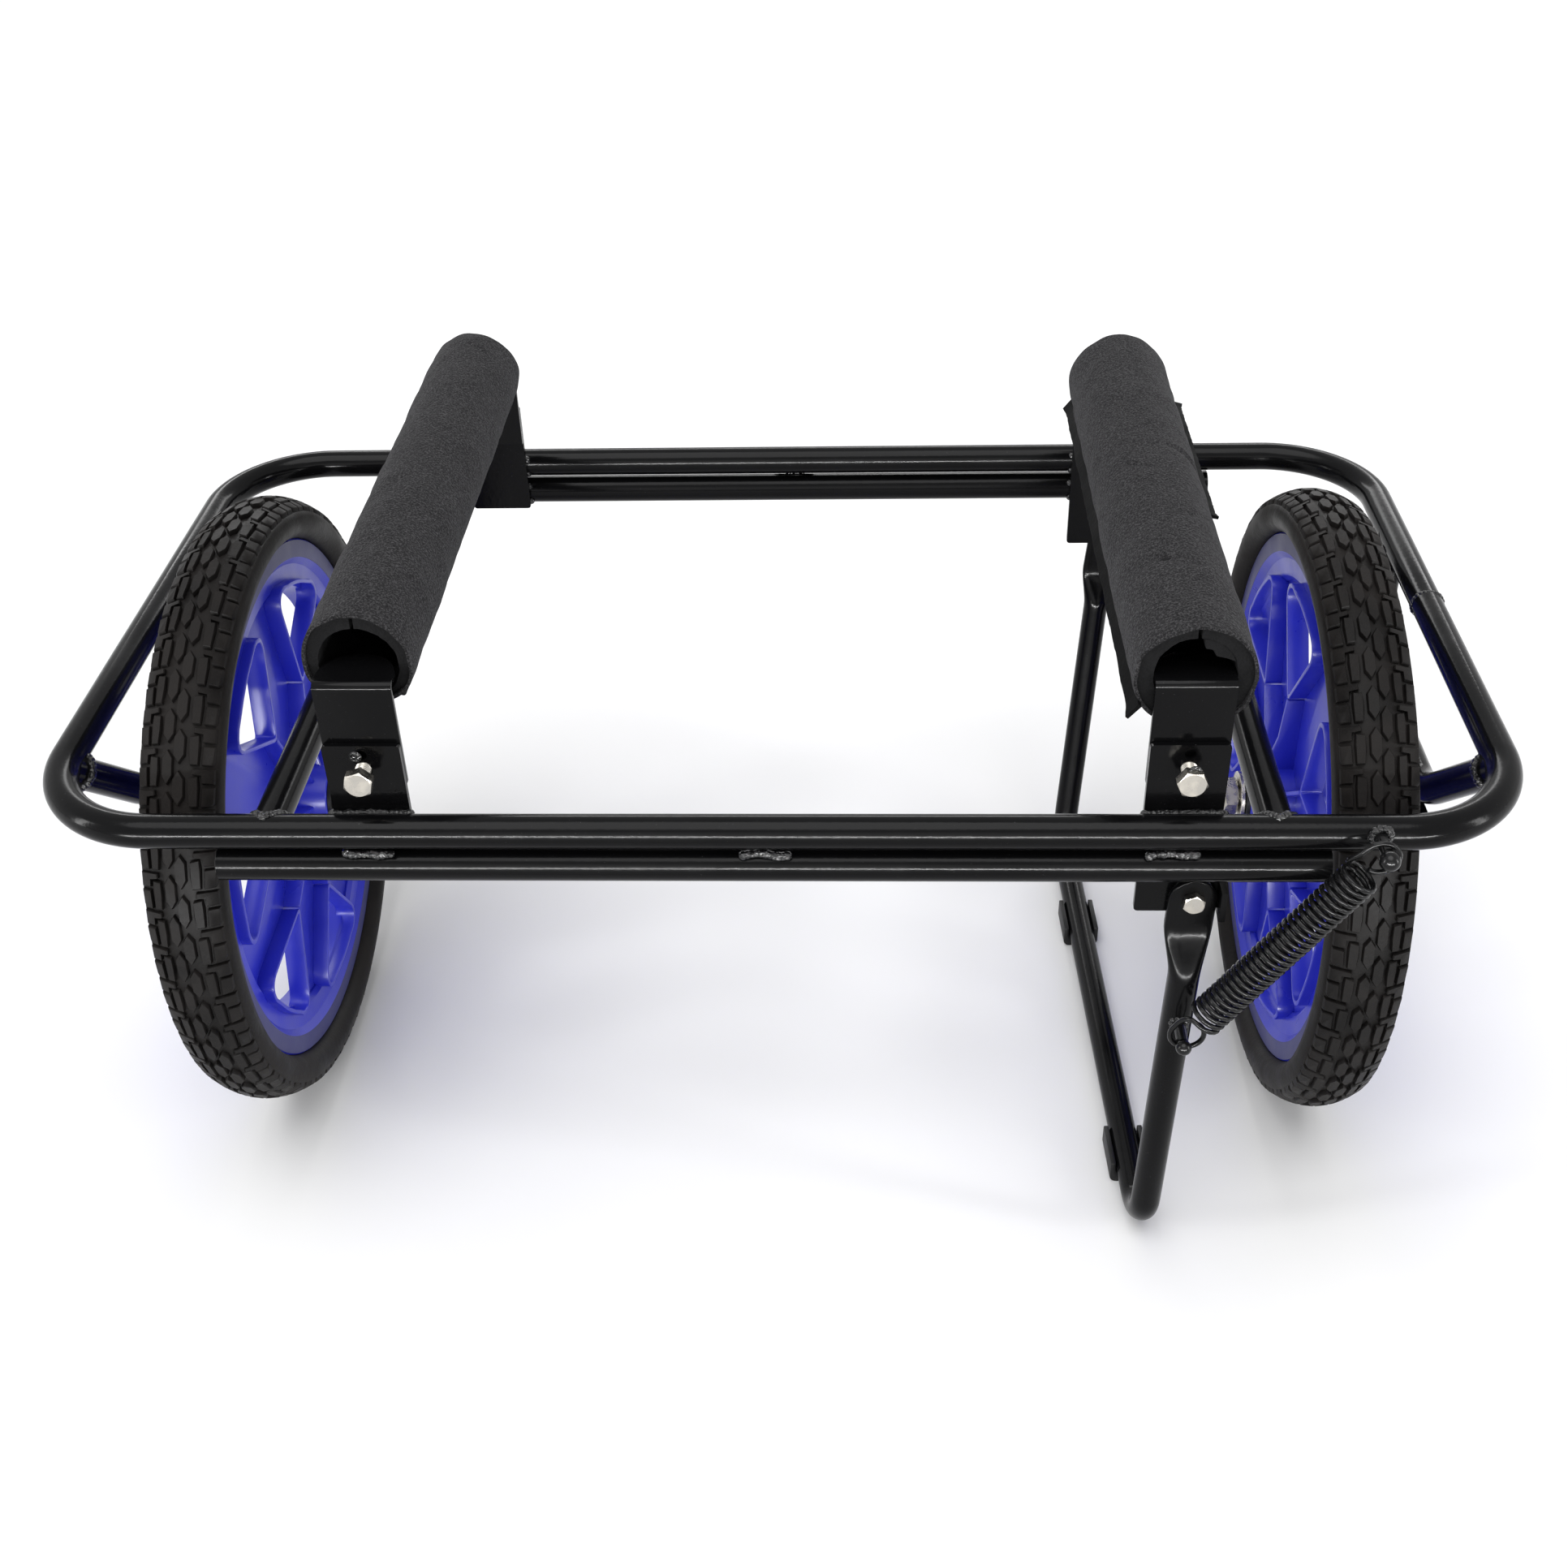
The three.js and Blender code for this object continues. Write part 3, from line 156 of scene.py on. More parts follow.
def combine(obj, cutter, operation):
    modifier = obj.modifiers.new("combine", "BOOLEAN")
    modifier.operation = operation
    modifier.solver = "EXACT"
    modifier.object = cutter
    applyModifiers(obj)
    bpy.data.objects.remove(cutter)
    return obj


def joinObjects(name, objects, material=None):
    # one mesh of several; each keeps its own material unless one is given
    form = bmesh.new()
    materials = []
    for obj in objects:
        start = len(form.faces)
        form.from_mesh(obj.data)
        form.faces.ensure_lookup_table()
        slots = list(obj.data.materials)
        for face in form.faces[start:]:
            own = slots[face.material_index]
            if own not in materials:
                materials.append(own)
            face.material_index = materials.index(own)
    mesh = bpy.data.meshes.new(name)
    form.to_mesh(mesh)
    form.free()
    for own in [material] if material else materials:
        mesh.materials.append(own)
    if material:
        for polygon in mesh.polygons:
            polygon.material_index = 0
    for obj in objects:
        bpy.data.objects.remove(obj)
    return addObject(name, mesh)


def loft(sections, closed=False, caps=True):
    # faces between sections of equal count
    count = len(sections[0])
    vertices = [point for section in sections for point in section]
    faces = []
    for i in range(len(sections) if closed else len(sections) - 1):
        here = i * count
        there = ((i + 1) % len(sections)) * count
        for j in range(count):
            k = (j + 1) % count
            faces.append((here + j, here + k, there + k, there + j))
    if caps and not closed:
        faces.append(tuple(reversed(range(count))))
        faces.append(tuple(range(len(vertices) - count, len(vertices))))
    return vertices, faces


def bentStations(corners, stepsPerBend):
    # point and heading along straight runs joined by round bends; each corner is (point, bend radius)
    points = [Vector(point) for point, _ in corners]
    stations = [(points[0], (points[1] - points[0]).normalized())]
    for i in range(1, len(points) - 1):
        arriving = (points[i] - points[i - 1]).normalized()
        leaving = (points[i + 1] - points[i]).normalized()
        turn = arriving.angle(leaving)
        bend = corners[i][1]
        start = points[i] - arriving * bend * math.tan(turn / 2)
        axis = arriving.cross(leaving).normalized()
        toCentre = axis.cross(arriving) * bend
        for step in range(stepsPerBend + 1):
            rotation = Matrix.Rotation(turn * step / stepsPerBend, 3, axis)
            stations.append((start + toCentre - rotation @ toCentre, rotation @ arriving))
    stations.append((points[-1], (points[-1] - points[-2]).normalized()))
    return stations


def circle(centre, normal, across, radius, count):
    turns = [2 * math.pi * i / count for i in range(count)]
    return [centre + (normal * math.cos(turn) + across * math.sin(turn)) * radius for turn in turns]


def tubeSections(stations, radius, sides):
    sections = []
    normal = stations[0][1].orthogonal().normalized()
    for point, heading in stations:
        normal = (normal - heading * normal.dot(heading)).normalized()
        sections.append(circle(point, normal, heading.cross(normal), radius, sides))
    return sections


def tube(name, stations, radius, material, sides=tubeSides, closed=False):
    vertices, faces = loft(tubeSections(stations, radius, sides), closed=closed)
    return newObject(name, vertices, faces, material, 50)


def turned(name, profile, centre, axis, material, segments=48, smoothAngle=35):
    # a closed profile of (radius, distance along the axis) pairs turned about an axis through centre
    along = rightward if axis == "x" else rearward
    across = Vector((0, 0, 1))
    third = along.cross(across)
    sections = []
    for i in range(segments):
        turn = 2 * math.pi * i / segments
        ray = across * math.cos(turn) + third * math.sin(turn)
        sections.append([centre + ray * radius + along * reach for radius, reach in profile])
    vertices, faces = loft(sections, closed=True)
    obj = newObject(name, vertices, faces, material, smoothAngle)
    weld(obj)
    recalculateNormals(obj)
    shadeSmooth(obj.data, smoothAngle)
    return obj


def weld(obj):
    distance = 1e-6
    form = bmesh.new()
    form.from_mesh(obj.data)
    bmesh.ops.remove_doubles(form, verts=form.verts, dist=distance)
    bmesh.ops.dissolve_degenerate(form, edges=form.edges, dist=distance)
    form.to_mesh(obj.data)
    form.free()
    return obj


def prism(name, outline, start, end, material, smoothAngle=35):
    # an outline of 3-D points at start, carried to end by the vector between them
    run = end - start
    count = len(outline)
    vertices = [point + start for point in outline] + [point + start + run for point in outline]
    faces = [tuple(range(count)), tuple(reversed(range(count, 2 * count)))]
    faces += [(j, j + count, (j + 1) % count + count, (j + 1) % count) for j in range(count)]
    obj = newObject(name, vertices, faces, material, smoothAngle)
    recalculateNormals(obj)
    return obj


# Node tools

def nodeTree(name, inputs):
    # a geometry tree with a geometry in and out and these named inputs
    tree = bpy.data.node_groups.new(name, "GeometryNodeTree")
    tree.interface.new_socket("Geometry", in_out="INPUT", socket_type="NodeSocketGeometry")
    sockets = {
        label: tree.interface.new_socket(label, in_out="INPUT", socket_type=kind).identifier
        for label, kind in inputs.items()
    }
    tree.interface.new_socket("Geometry", in_out="OUTPUT", socket_type="NodeSocketGeometry")
    return tree, sockets


def joinNodes(tree, *links):
    for source, output, target, field in links:
        tree.links.new(source.outputs[output], target.inputs[field])


def mathNode(tree, operation):
    node = tree.nodes.new("ShaderNodeMath")
    node.operation = operation
    return node


def finishTree(tree, entry, instances):
    # instances become one mesh with the given material
    realize = tree.nodes.new("GeometryNodeRealizeInstances")
    paintIt = tree.nodes.new("GeometryNodeSetMaterial")
    leave = tree.nodes.new("NodeGroupOutput")
    joinNodes(
        tree,
        (instances, "Instances", realize, "Geometry"), (realize, "Geometry", paintIt, "Geometry"),
        (entry, "Material", paintIt, "Material"), (paintIt, "Geometry", leave, "Geometry"),
    )


def roundXTree():
    # copies of what comes in, spaced evenly round the X axis
    tree, sockets = nodeTree("roundX", {"Count": "NodeSocketInt", "Material": "NodeSocketMaterial"})
    entry = tree.nodes.new("NodeGroupInput")
    line = tree.nodes.new("GeometryNodeMeshLine")
    line.inputs["Offset"].default_value = (0, 0, 0)
    index = tree.nodes.new("GeometryNodeInputIndex")
    share = mathNode(tree, "DIVIDE")
    turn = mathNode(tree, "MULTIPLY")
    turn.inputs[1].default_value = 2 * math.pi
    angles = tree.nodes.new("ShaderNodeCombineXYZ")
    instances = tree.nodes.new("GeometryNodeInstanceOnPoints")
    joinNodes(
        tree,
        (entry, "Count", line, "Count"), (index, "Index", share, 0), (entry, "Count", share, 1),
        (share, "Value", turn, 0), (turn, "Value", angles, "X"), (line, "Mesh", instances, "Points"),
        (entry, "Geometry", instances, "Instance"), (angles, "Vector", instances, "Rotation"),
    )
    finishTree(tree, entry, instances)
    return tree, sockets


def weldTree():
    # a rippled weld bead along the edges that come in
    tree, sockets = nodeTree("weldBead", {
        "Spacing": "NodeSocketFloat", "Size": "NodeSocketFloat", "Seed": "NodeSocketInt",
        "Material": "NodeSocketMaterial",
    })
    entry = tree.nodes.new("NodeGroupInput")
    path = tree.nodes.new("GeometryNodeMeshToCurve")
    resample = tree.nodes.new("GeometryNodeResampleCurve")
    resample.mode = "LENGTH"
    ball = tree.nodes.new("GeometryNodeMeshIcoSphere")
    ball.inputs["Subdivisions"].default_value = weldSize["facets"]
    heading = tree.nodes.new("GeometryNodeInputTangent")
    align = tree.nodes.new("FunctionNodeAlignRotationToVector")
    align.axis = "X"
    spread = tree.nodes.new("FunctionNodeRandomValue")
    spread.data_type = "FLOAT"
    spread.inputs[2].default_value = weldSize["least"]
    spread.inputs[3].default_value = weldSize["most"]
    instances = tree.nodes.new("GeometryNodeInstanceOnPoints")
    smooth = tree.nodes.new("GeometryNodeSetShadeSmooth")
    joinNodes(
        tree,
        (entry, "Geometry", path, "Mesh"), (path, "Curve", resample, "Curve"),
        (entry, "Spacing", resample, "Length"), (entry, "Size", ball, "Radius"),
        (ball, "Mesh", smooth, "Geometry"), (heading, "Tangent", align, "Vector"),
        (entry, "Seed", spread, "Seed"), (resample, "Curve", instances, "Points"),
        (smooth, "Geometry", instances, "Instance"), (align, "Rotation", instances, "Rotation"),
        (spread, 1, instances, "Scale"),
    )
    finishTree(tree, entry, instances)
    return tree, sockets


def runTree(obj, built, values):
    tree, sockets = built
    modifier = obj.modifiers.new("repeat", "NODES")
    modifier.node_group = tree
    for label, value in values.items():
        modifier[sockets[label]] = value
    return applyModifiers(obj)


# Materials

def shaderTree(name, base, roughness, metallic=0.0, specular=0.5):
    material = bpy.data.materials.new(name)
    material.use_nodes = True
    tree = material.node_tree
    shader = tree.nodes["Principled BSDF"]
    shader.inputs["Base Color"].default_value = (*base, 1)
    shader.inputs["Roughness"].default_value = roughness
    shader.inputs["Metallic"].default_value = metallic
    shader.inputs["Specular IOR Level"].default_value = specular
    coords = tree.nodes.new("ShaderNodeTexCoord")
    return material, tree, shader, coords


def noiseNode(tree, coords, scale, detail, roughness=0.55):
    grain = tree.nodes.new("ShaderNodeTexNoise")
    grain.inputs["Scale"].default_value = scale
    grain.inputs["Detail"].default_value = detail
    grain.inputs["Roughness"].default_value = roughness
    tree.links.new(coords.outputs["Object"], grain.inputs["Vector"])
    return grain.outputs["Fac"]


def rampNode(tree, source, stops):
    ramp = tree.nodes.new("ShaderNodeValToRGB")
    elements = ramp.color_ramp.elements
    while len(elements) < len(stops):
        elements.new(0.5)
    for element, (position, colour) in zip(elements, stops):
        element.position = position
        element.color = (*colour, 1) if len(colour) == 3 else colour
    tree.links.new(source, ramp.inputs["Fac"])
    return ramp.outputs["Color"]


def rangeNode(tree, source, low, high, fromLow=0.3, fromHigh=0.7):
    spread = tree.nodes.new("ShaderNodeMapRange")
    spread.inputs["From Min"].default_value = fromLow
    spread.inputs["From Max"].default_value = fromHigh
    spread.inputs["To Min"].default_value = low
    spread.inputs["To Max"].default_value = high
    tree.links.new(source, spread.inputs["Value"])
    return spread.outputs["Result"]


def mixNode(tree, factor, first, second):
    mix = tree.nodes.new("ShaderNodeMix")
    mix.data_type = "RGBA"
    if hasattr(factor, "default_value"):
        tree.links.new(factor, mix.inputs["Factor"])
    else:
        mix.inputs["Factor"].default_value = factor
    for socket, value in ((mix.inputs[6], first), (mix.inputs[7], second)):
        if hasattr(value, "default_value"):
            tree.links.new(value, socket)
        else:
            socket.default_value = (*value, 1)
    return mix.outputs[2]


def bumpNode(tree, shader, height, strength, distance, before=None):
    bump = tree.nodes.new("ShaderNodeBump")
    bump.inputs["Strength"].default_value = strength
    bump.inputs["Distance"].default_value = distance
    tree.links.new(height, bump.inputs["Height"])
    if before is not None:
        tree.links.new(before, bump.inputs["Normal"])
    tree.links.new(bump.outputs["Normal"], shader.inputs["Normal"])
    return bump.outputs["Normal"]


def makePaint(name, base, roughness, specular=0.1, peelStrength=0.12, peelDepth=0.0004):
    # glossy black powder coat: faint orange peel, uneven tone and a few pale flecks
    material, tree, shader, coords = shaderTree(name, base, roughness, specular=specular)
    flecks = noiseNode(tree, coords, 900, 2.0, 0.7)
    patches = noiseNode(tree, coords, 18, 4.0)
    dust = rampNode(tree, flecks, [(0.0, (0, 0, 0)), (0.71, (0, 0, 0)), (0.76, (1, 1, 1))])
    dusty = mixNode(tree, dust, base, (0.05, 0.05, 0.052))
    toned = mixNode(tree, patches, base, tuple(value * 1.8 for value in base))
    tree.links.new(mixNode(tree, dust, toned, dusty), shader.inputs["Base Color"])
    tree.links.new(rangeNode(tree, patches, roughness - 0.04, roughness + 0.08), shader.inputs["Roughness"])
    peel = noiseNode(tree, coords, 420, 2.0)
    bumpNode(tree, shader, peel, peelStrength, peelDepth)
    return material


def makePlastic(name, base, pale, roughness, specular=0.4):
    # moulded plastic: fine grain, soft mottling and a pale bloom where it has been rubbed
    material, tree, shader, coords = shaderTree(name, base, roughness, specular=specular)
    mottle = noiseNode(tree, coords, 30, 5.0)
    bloom = rangeNode(tree, noiseNode(tree, coords, 9, 3.0), 0.0, 0.35, 0.45, 0.75)
    shade = mixNode(tree, mottle, tuple(value * 0.82 for value in base), base)
    tree.links.new(mixNode(tree, bloom, shade, pale), shader.inputs["Base Color"])
    tree.links.new(rangeNode(tree, mottle, roughness - 0.06, roughness + 0.08), shader.inputs["Roughness"])
    bumpNode(tree, shader, noiseNode(tree, coords, 700, 2.0), 0.15, 0.0003)
    return material


def makeRubber(name, base, rubbedTone, dustTone, specular=0.1):
    # tyre rubber: dull, with brown-grey scuffs and dusty patches
    material, tree, shader, coords = shaderTree(name, base, 0.55, specular=specular)
    scuffs = noiseNode(tree, coords, 26, 7.0, 0.65)
    fine = noiseNode(tree, coords, 380, 4.0, 0.7)
    dust = rampNode(tree, scuffs, [(0.42, (0, 0, 0)), (0.72, (0.5, 0.5, 0.5))])
    rubbed = mixNode(tree, fine, base, rubbedTone)
    tree.links.new(mixNode(tree, dust, rubbed, dustTone), shader.inputs["Base Color"])
    tree.links.new(rangeNode(tree, scuffs, 0.36, 0.66), shader.inputs["Roughness"])
    bumpNode(tree, shader, fine, 0.35, 0.0005)
    return material


def makeZinc(name):
    # zinc plate: bright, cloudy and faintly yellow, with a fine grain
    base = (0.5, 0.485, 0.46)
    material, tree, shader, coords = shaderTree(name, base, 0.24, 1.0)
    clouds = noiseNode(tree, coords, 160, 5.0)
    tint = mixNode(tree, clouds, base, (0.4, 0.37, 0.31))
    tree.links.new(tint, shader.inputs["Base Color"])
    tree.links.new(rangeNode(tree, clouds, 0.16, 0.38), shader.inputs["Roughness"])
    bumpNode(tree, shader, noiseNode(tree, coords, 1400, 3.0), 0.2, 0.0002)
    return material


def makeFabric(name):
    # heathered charcoal cover cloth: a fine weave, mixed light and dark fibres, and a soft sheen
    base = (0.05, 0.049, 0.051)
    material, tree, shader, coords = shaderTree(name, base, 0.92, specular=0.08)
    shader.inputs["Sheen Weight"].default_value = 0.05
    shader.inputs["Sheen Roughness"].default_value = 0.5
    shader.inputs["Sheen Tint"].default_value = (0.75, 0.75, 0.78, 1)
    heather = noiseNode(tree, coords, 980, 3.0, 0.85)
    clumps = noiseNode(tree, coords, 260, 4.0, 0.7)
    fibres = rampNode(tree, heather, [
        (0.4, (0.004, 0.004, 0.0045)),
        (0.5, (0.02, 0.0195, 0.021)),
        (0.6, (0.098, 0.096, 0.1)),
    ])
    clouded = mixNode(tree, clumps, (0.009, 0.0087, 0.0093), (0.024, 0.0234, 0.0248))
    tree.links.new(mixNode(tree, 0.55, clouded, fibres), shader.inputs["Base Color"])
    weave = tree.nodes.new("ShaderNodeTexVoronoi")
    weave.inputs["Scale"].default_value = 640
    tree.links.new(coords.outputs["Object"], weave.inputs["Vector"])
    first = bumpNode(tree, shader, weave.outputs["Distance"], 0.5, 0.0008)
    bumpNode(tree, shader, clumps, 0.3, 0.0009, first)
    return material


def makeFoam(name):
    # closed-cell foam: dull charcoal with small cells on its cut faces
    base = (0.03, 0.03, 0.031)
    material, tree, shader, coords = shaderTree(name, base, 0.95, specular=0.08)
    cells = tree.nodes.new("ShaderNodeTexVoronoi")
    cells.inputs["Scale"].default_value = 620
    tree.links.new(coords.outputs["Object"], cells.inputs["Vector"])
    shade = noiseNode(tree, coords, 120, 5.0, 0.7)
    toned = mixNode(tree, shade, (0.006, 0.006, 0.0065), (0.019, 0.019, 0.02))
    tree.links.new(toned, shader.inputs["Base Color"])
    bumpNode(tree, shader, cells.outputs["Distance"], 0.6, 0.0008)
    return material


blackPaint = makePaint("blackPaint", (0.0026, 0.0026, 0.0029), 0.15)
weldPaint = makePaint("weldPaint", (0.008, 0.008, 0.0085), 0.14, 0.45, 0.9, 0.002)
springPaint = makePaint("springPaint", (0.0042, 0.0042, 0.0045), 0.18, 0.2)
rimBlue = makePlastic("rimBlue", (0.022, 0.03, 0.56), (0.05, 0.064, 0.7), 0.32)
# the flange face's greyer blue is a painted reflection of grazing light on the same blue plastic
flangeBluePaintedGlare = makePlastic("flangeBluePaintedGlare", (0.045, 0.047, 0.17), (0.09, 0.094, 0.22), 0.42, specular=0.25)
blackPlastic = makePlastic("blackPlastic", (0.008, 0.008, 0.0085), (0.02, 0.02, 0.02), 0.42, specular=0.2)
tyreRubber = makeRubber("tyreRubber", (0.0048, 0.0042, 0.0041), (0.0095, 0.0084, 0.008), (0.026, 0.022, 0.02))
zincPlate = makeZinc("zincPlate")
padFabric = makeFabric("padFabric")
padFoam = makeFoam("padFoam")
padBinding = makeRubber(
    "padBinding", (0.0028, 0.0028, 0.003), (0.005, 0.005, 0.0052), (0.009, 0.009, 0.0095), 0.02)

slotMaterials = {
    "black_paint": blackPaint,
    "spring_paint": springPaint,
    "blue_plastic": rimBlue,
    "black_plastic": blackPlastic,
    "tyre_rubber": tyreRubber,
    "zinc_plate": zincPlate,
    "pad_fabric": padFabric,
    "pad_foam": padFoam,
}
slotOf = {part["node"]: part["material_slot"] for part in frame["record"]["subparts"]}
for nodeName, nodeObject in frame["nodes"].items():
    nodeObject.data.materials.clear()
    nodeObject.data.materials.append(slotMaterials[slotOf[nodeName]])
print("scene: materials made")


def place(obj, body, slotName, *nodes):
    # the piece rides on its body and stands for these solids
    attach(obj, body)
    if nodes:
        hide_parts(*nodes)
    return obj


# Flat plates that keep their solids get softened edges

plateEdge = 0.0005
bunkPlates = [f"{end}_{side}_bunk_plate" for end in cartEnds for side in cartSides]
for nodeName in (*bunkPlates, "left_axle_plate", "right_axle_plate"):
    bevelEdges(frame["nodes"][nodeName], plateEdge, 50)

# Frame tubes

loopSize = {"bend": 0.062, "seamY": 0.011, "bendSteps": 24, "seamGap": 1e-5}


def makeFrameLoop():
    corners = [(framePoint(sideRailX, loopSize["seamY"], 0), 0)]
    for x, y in ((sideRailX, railY), (-sideRailX, railY), (-sideRailX, -railY), (sideRailX, -railY)):
        corners.append((framePoint(x, y, 0), loopSize["bend"]))
    corners.append((framePoint(sideRailX, loopSize["seamY"] - loopSize["seamGap"], 0), 0))
    stations = bentStations(corners, loopSize["bendSteps"])
    return tube("frameLoop", stations[:-1], tubeRadius, blackPaint, closed=True)


place(makeFrameLoop(), "frame", "black_paint", "frame_loop")


openTube = {"chamfer": 0.0003, "boreShown": 0.03}


def makeOpenTube(name, start, end):
    # a straight tube, open at both ends, with a small chamfer round each
    heading = (end - start).normalized()
    length = (end - start).length
    chamfer, shown = openTube["chamfer"], openTube["boreShown"]
    inner = tubeRadius - tubeWall
    rings = [
        (inner, shown), (inner, 0), (tubeRadius - chamfer, 0), (tubeRadius, chamfer),
        (tubeRadius, length - chamfer), (tubeRadius - chamfer, length), (inner, length),
        (inner, length - shown),
    ]
    normal = heading.orthogonal().normalized()
    across = heading.cross(normal)
    vertices, faces = loft([
        circle(start + heading * reach, normal, across, radius, tubeSides) for radius, reach in rings
    ])
    return newObject(name, vertices, faces, blackPaint, 30)


for endName, end in cartEnds.items():
    node = f"{endName}_lower_rail"
    low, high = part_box(node)
    y, height = middleY + end * railY, low.z + tubeRadius
    rail = makeOpenTube(f"{endName}LowerRail", Vector((low.x, y, height)), Vector((high.x, y, height)))
    place(rail, "frame", "black_paint", node)

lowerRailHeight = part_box("front_lower_rail")[0].z + tubeRadius

strutObjects = []
for side in cartSides:
    x = middleOf(f"{side}_inner_strut").x
    stations = [(Vector((x, middleY + end * railY, railHeight)), rearward) for end in cartEnds.values()]
    strutObjects.append(tube(f"{side}Strut", stations, tubeRadius, blackPaint))
struts = joinObjects("innerStruts", strutObjects)
place(struts, "frame", "black_paint", "left_inner_strut", "right_inner_strut")

hangerSize = {"drop": 0.056, "run": 0.132, "foot": 0.240, "bend": 0.035}
axleMiddle = middleOf("right_tyre")
hangerX = middleOf("right_axle_plate").x


def hangerCorners(side):
    def at(x, y, z):
        return Vector((side * x, axleMiddle.y + y, railHeight + z))
    return [
        (at(sideRailX, -hangerSize["foot"] / 2, 0), 0),
        (at(hangerX, -hangerSize["run"] / 2, -hangerSize["drop"]), hangerSize["bend"]),
        (at(hangerX, hangerSize["run"] / 2, -hangerSize["drop"]), hangerSize["bend"]),
        (at(sideRailX, hangerSize["foot"] / 2, 0), 0),
    ]


hangers = joinObjects("axleHangers", [
    tube(f"{side}Hanger", bentStations(hangerCorners(sign), 12), tubeRadius, blackPaint, 32)
    for side, sign in cartSides.items()
])
place(hangers, "frame", "black_paint", "left_axle_hanger", "right_axle_hanger")
print("scene: frame tubes made")

# Weld beads

weldSize = {"spacing": 0.0021, "radius": 0.0024, "seed": 7, "facets": 2, "least": 0.82, "most": 1.12}
saddleSize = {"wide": 1.04, "tall": 0.97, "sink": 0.94, "steps": 24}
plateBead = {"out": 0.0016, "lift": 0.0052, "room": 0.006}
axleBead = {"margin": 0.022, "out": 0.0008, "ring": 0.0112}
hangerBead = {"reach": 0.0125, "out": 0.0004}
pinBead = {"sink": 0.93, "radius": 0.0042}
seamBead = {"sink": 0.0007, "radius": 0.0017, "steps": 40, "seed": 3}
beadTree = weldTree()
# without a seed the beads would wander differently in every run
noise.seed_set(weldSize["seed"])


def weldPaths(name, paths, radius=weldSize["radius"], seed=weldSize["seed"]):
    # beads along lists of points
    vertices, edges = [], []
    for path in paths:
        first = len(vertices)
        vertices += [tuple(point) for point in path]
        edges += [(first + i, first + i + 1) for i in range(len(path) - 1)]
    mesh = bpy.data.meshes.new(name)
    mesh.from_pydata(vertices, edges, [])
    return runTree(addObject(name, mesh), beadTree, {
        "Spacing": weldSize["spacing"], "Size": radius, "Seed": seed, "Material": weldPaint,
    })


def wobble(point, amount, scale=90.0):
    return point + noise.noise_vector(point * scale) * amount


def linePath(start, end, steps, amount, scale=90.0):
    return [wobble(start + (end - start) * (i / steps), amount, scale) for i in range(steps + 1)]


def ringPath(centre, heading, radius, count=24):
    normal = heading.orthogonal().normalized()
    ring = circle(centre, normal, heading.cross(normal), radius, count)
    return [wobble(point, 0.0006) for point in ring + ring[:1]]


def saddlePath(x, end):
    # round a strut where it meets the front or rear rail
    path = []
    for i in range(saddleSize["steps"] + 1):
        turn = 2 * math.pi * i / saddleSize["steps"]
        up = tubeRadius * math.sin(turn)
        sink = math.sqrt(max(tubeRadius ** 2 - up ** 2, 0))
        point = Vector((
            x + tubeRadius * saddleSize["wide"] * math.cos(turn),
            middleY + end * (railY - sink * saddleSize["sink"]),
            railHeight + up * saddleSize["tall"],
        ))
        path.append(wobble(point, 0.0005))
    return path


plateFace = railY - tubeRadius - seat
beadPaths = []
for endName, end in cartEnds.items():
    y = middleY + end * (plateFace + plateBead["out"])
    for side in cartSides:
        low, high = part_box(f"{endName}_{side}_bunk_plate")
        right = min(high.x, low.x + strapWidth)
        for height in (railHeight, lowerRailHeight):
            for lift in (1, -1):
                if height + lift * plateBead["room"] < low.z:
                    continue
                z = height + lift * plateBead["lift"]
                beadPaths.append(linePath(Vector((low.x, y, z)), Vector((right, y, z)), 10, 0.0007))
for side, sign in cartSides.items():
    strutX = middleOf(f"{side}_inner_strut").x
    beadPaths += [saddlePath(strutX, end) for end in cartEnds.values()]
    corners = [corner for corner, _ in hangerCorners(sign)]
    for foot, knee in ((corners[0], corners[1]), (corners[3], corners[2])):
        heading = (knee - foot).normalized()
        spot = foot + heading * hangerBead["reach"]
        beadPaths.append(ringPath(spot, heading, tubeRadius + hangerBead["out"]))
    low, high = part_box(f"{side}_axle_plate")
    for x in (low.x - axleBead["out"], high.x + axleBead["out"]):
        start = Vector((x, low.y + axleBead["margin"], high.z))
        beadPaths.append(linePath(start, Vector((x, high.y - axleBead["margin"], high.z)), 20, 0.0006))
    axle = middleOf(f"{side}_axle")
    spot = Vector((low.x if sign > 0 else high.x, axle.y, axle.z))
    beadPaths.append(ringPath(spot, rightward, axleBead["ring"]))
tackSize = {"spacing": 0.195, "half": 0.011, "out": 0.0052, "wobble": 0.0011, "grain": 160.0}
for end in cartEnds.values():
    for i in (-1, 0, 1):
        tackY = middleY + end * (railY + tackSize["out"])
        middle = Vector((i * tackSize["spacing"], tackY, (railHeight + lowerRailHeight) / 2))
        half = rightward * tackSize["half"]
        beadPaths.append(linePath(middle - half, middle + half, 10, tackSize["wobble"], tackSize["grain"]))
framePin = middleOf("spring_frame_pin")
pinRoot = Vector((framePin.x, middleY - railY - tubeRadius * pinBead["sink"], framePin.z))
beadPaths.append(ringPath(pinRoot, rearward, pinBead["radius"]))
place(weldPaths("frameWelds", beadPaths), "frame", "black_paint")
seamCentre = framePoint(sideRailX, loopSize["seamY"], 0)
seamPath = ringPath(seamCentre, rearward, tubeRadius - seamBead["sink"], seamBead["steps"])
place(weldPaths("seamWeld", [seamPath], seamBead["radius"], seamBead["seed"]), "frame", "black_paint")
print("scene: welds made")

# Screws

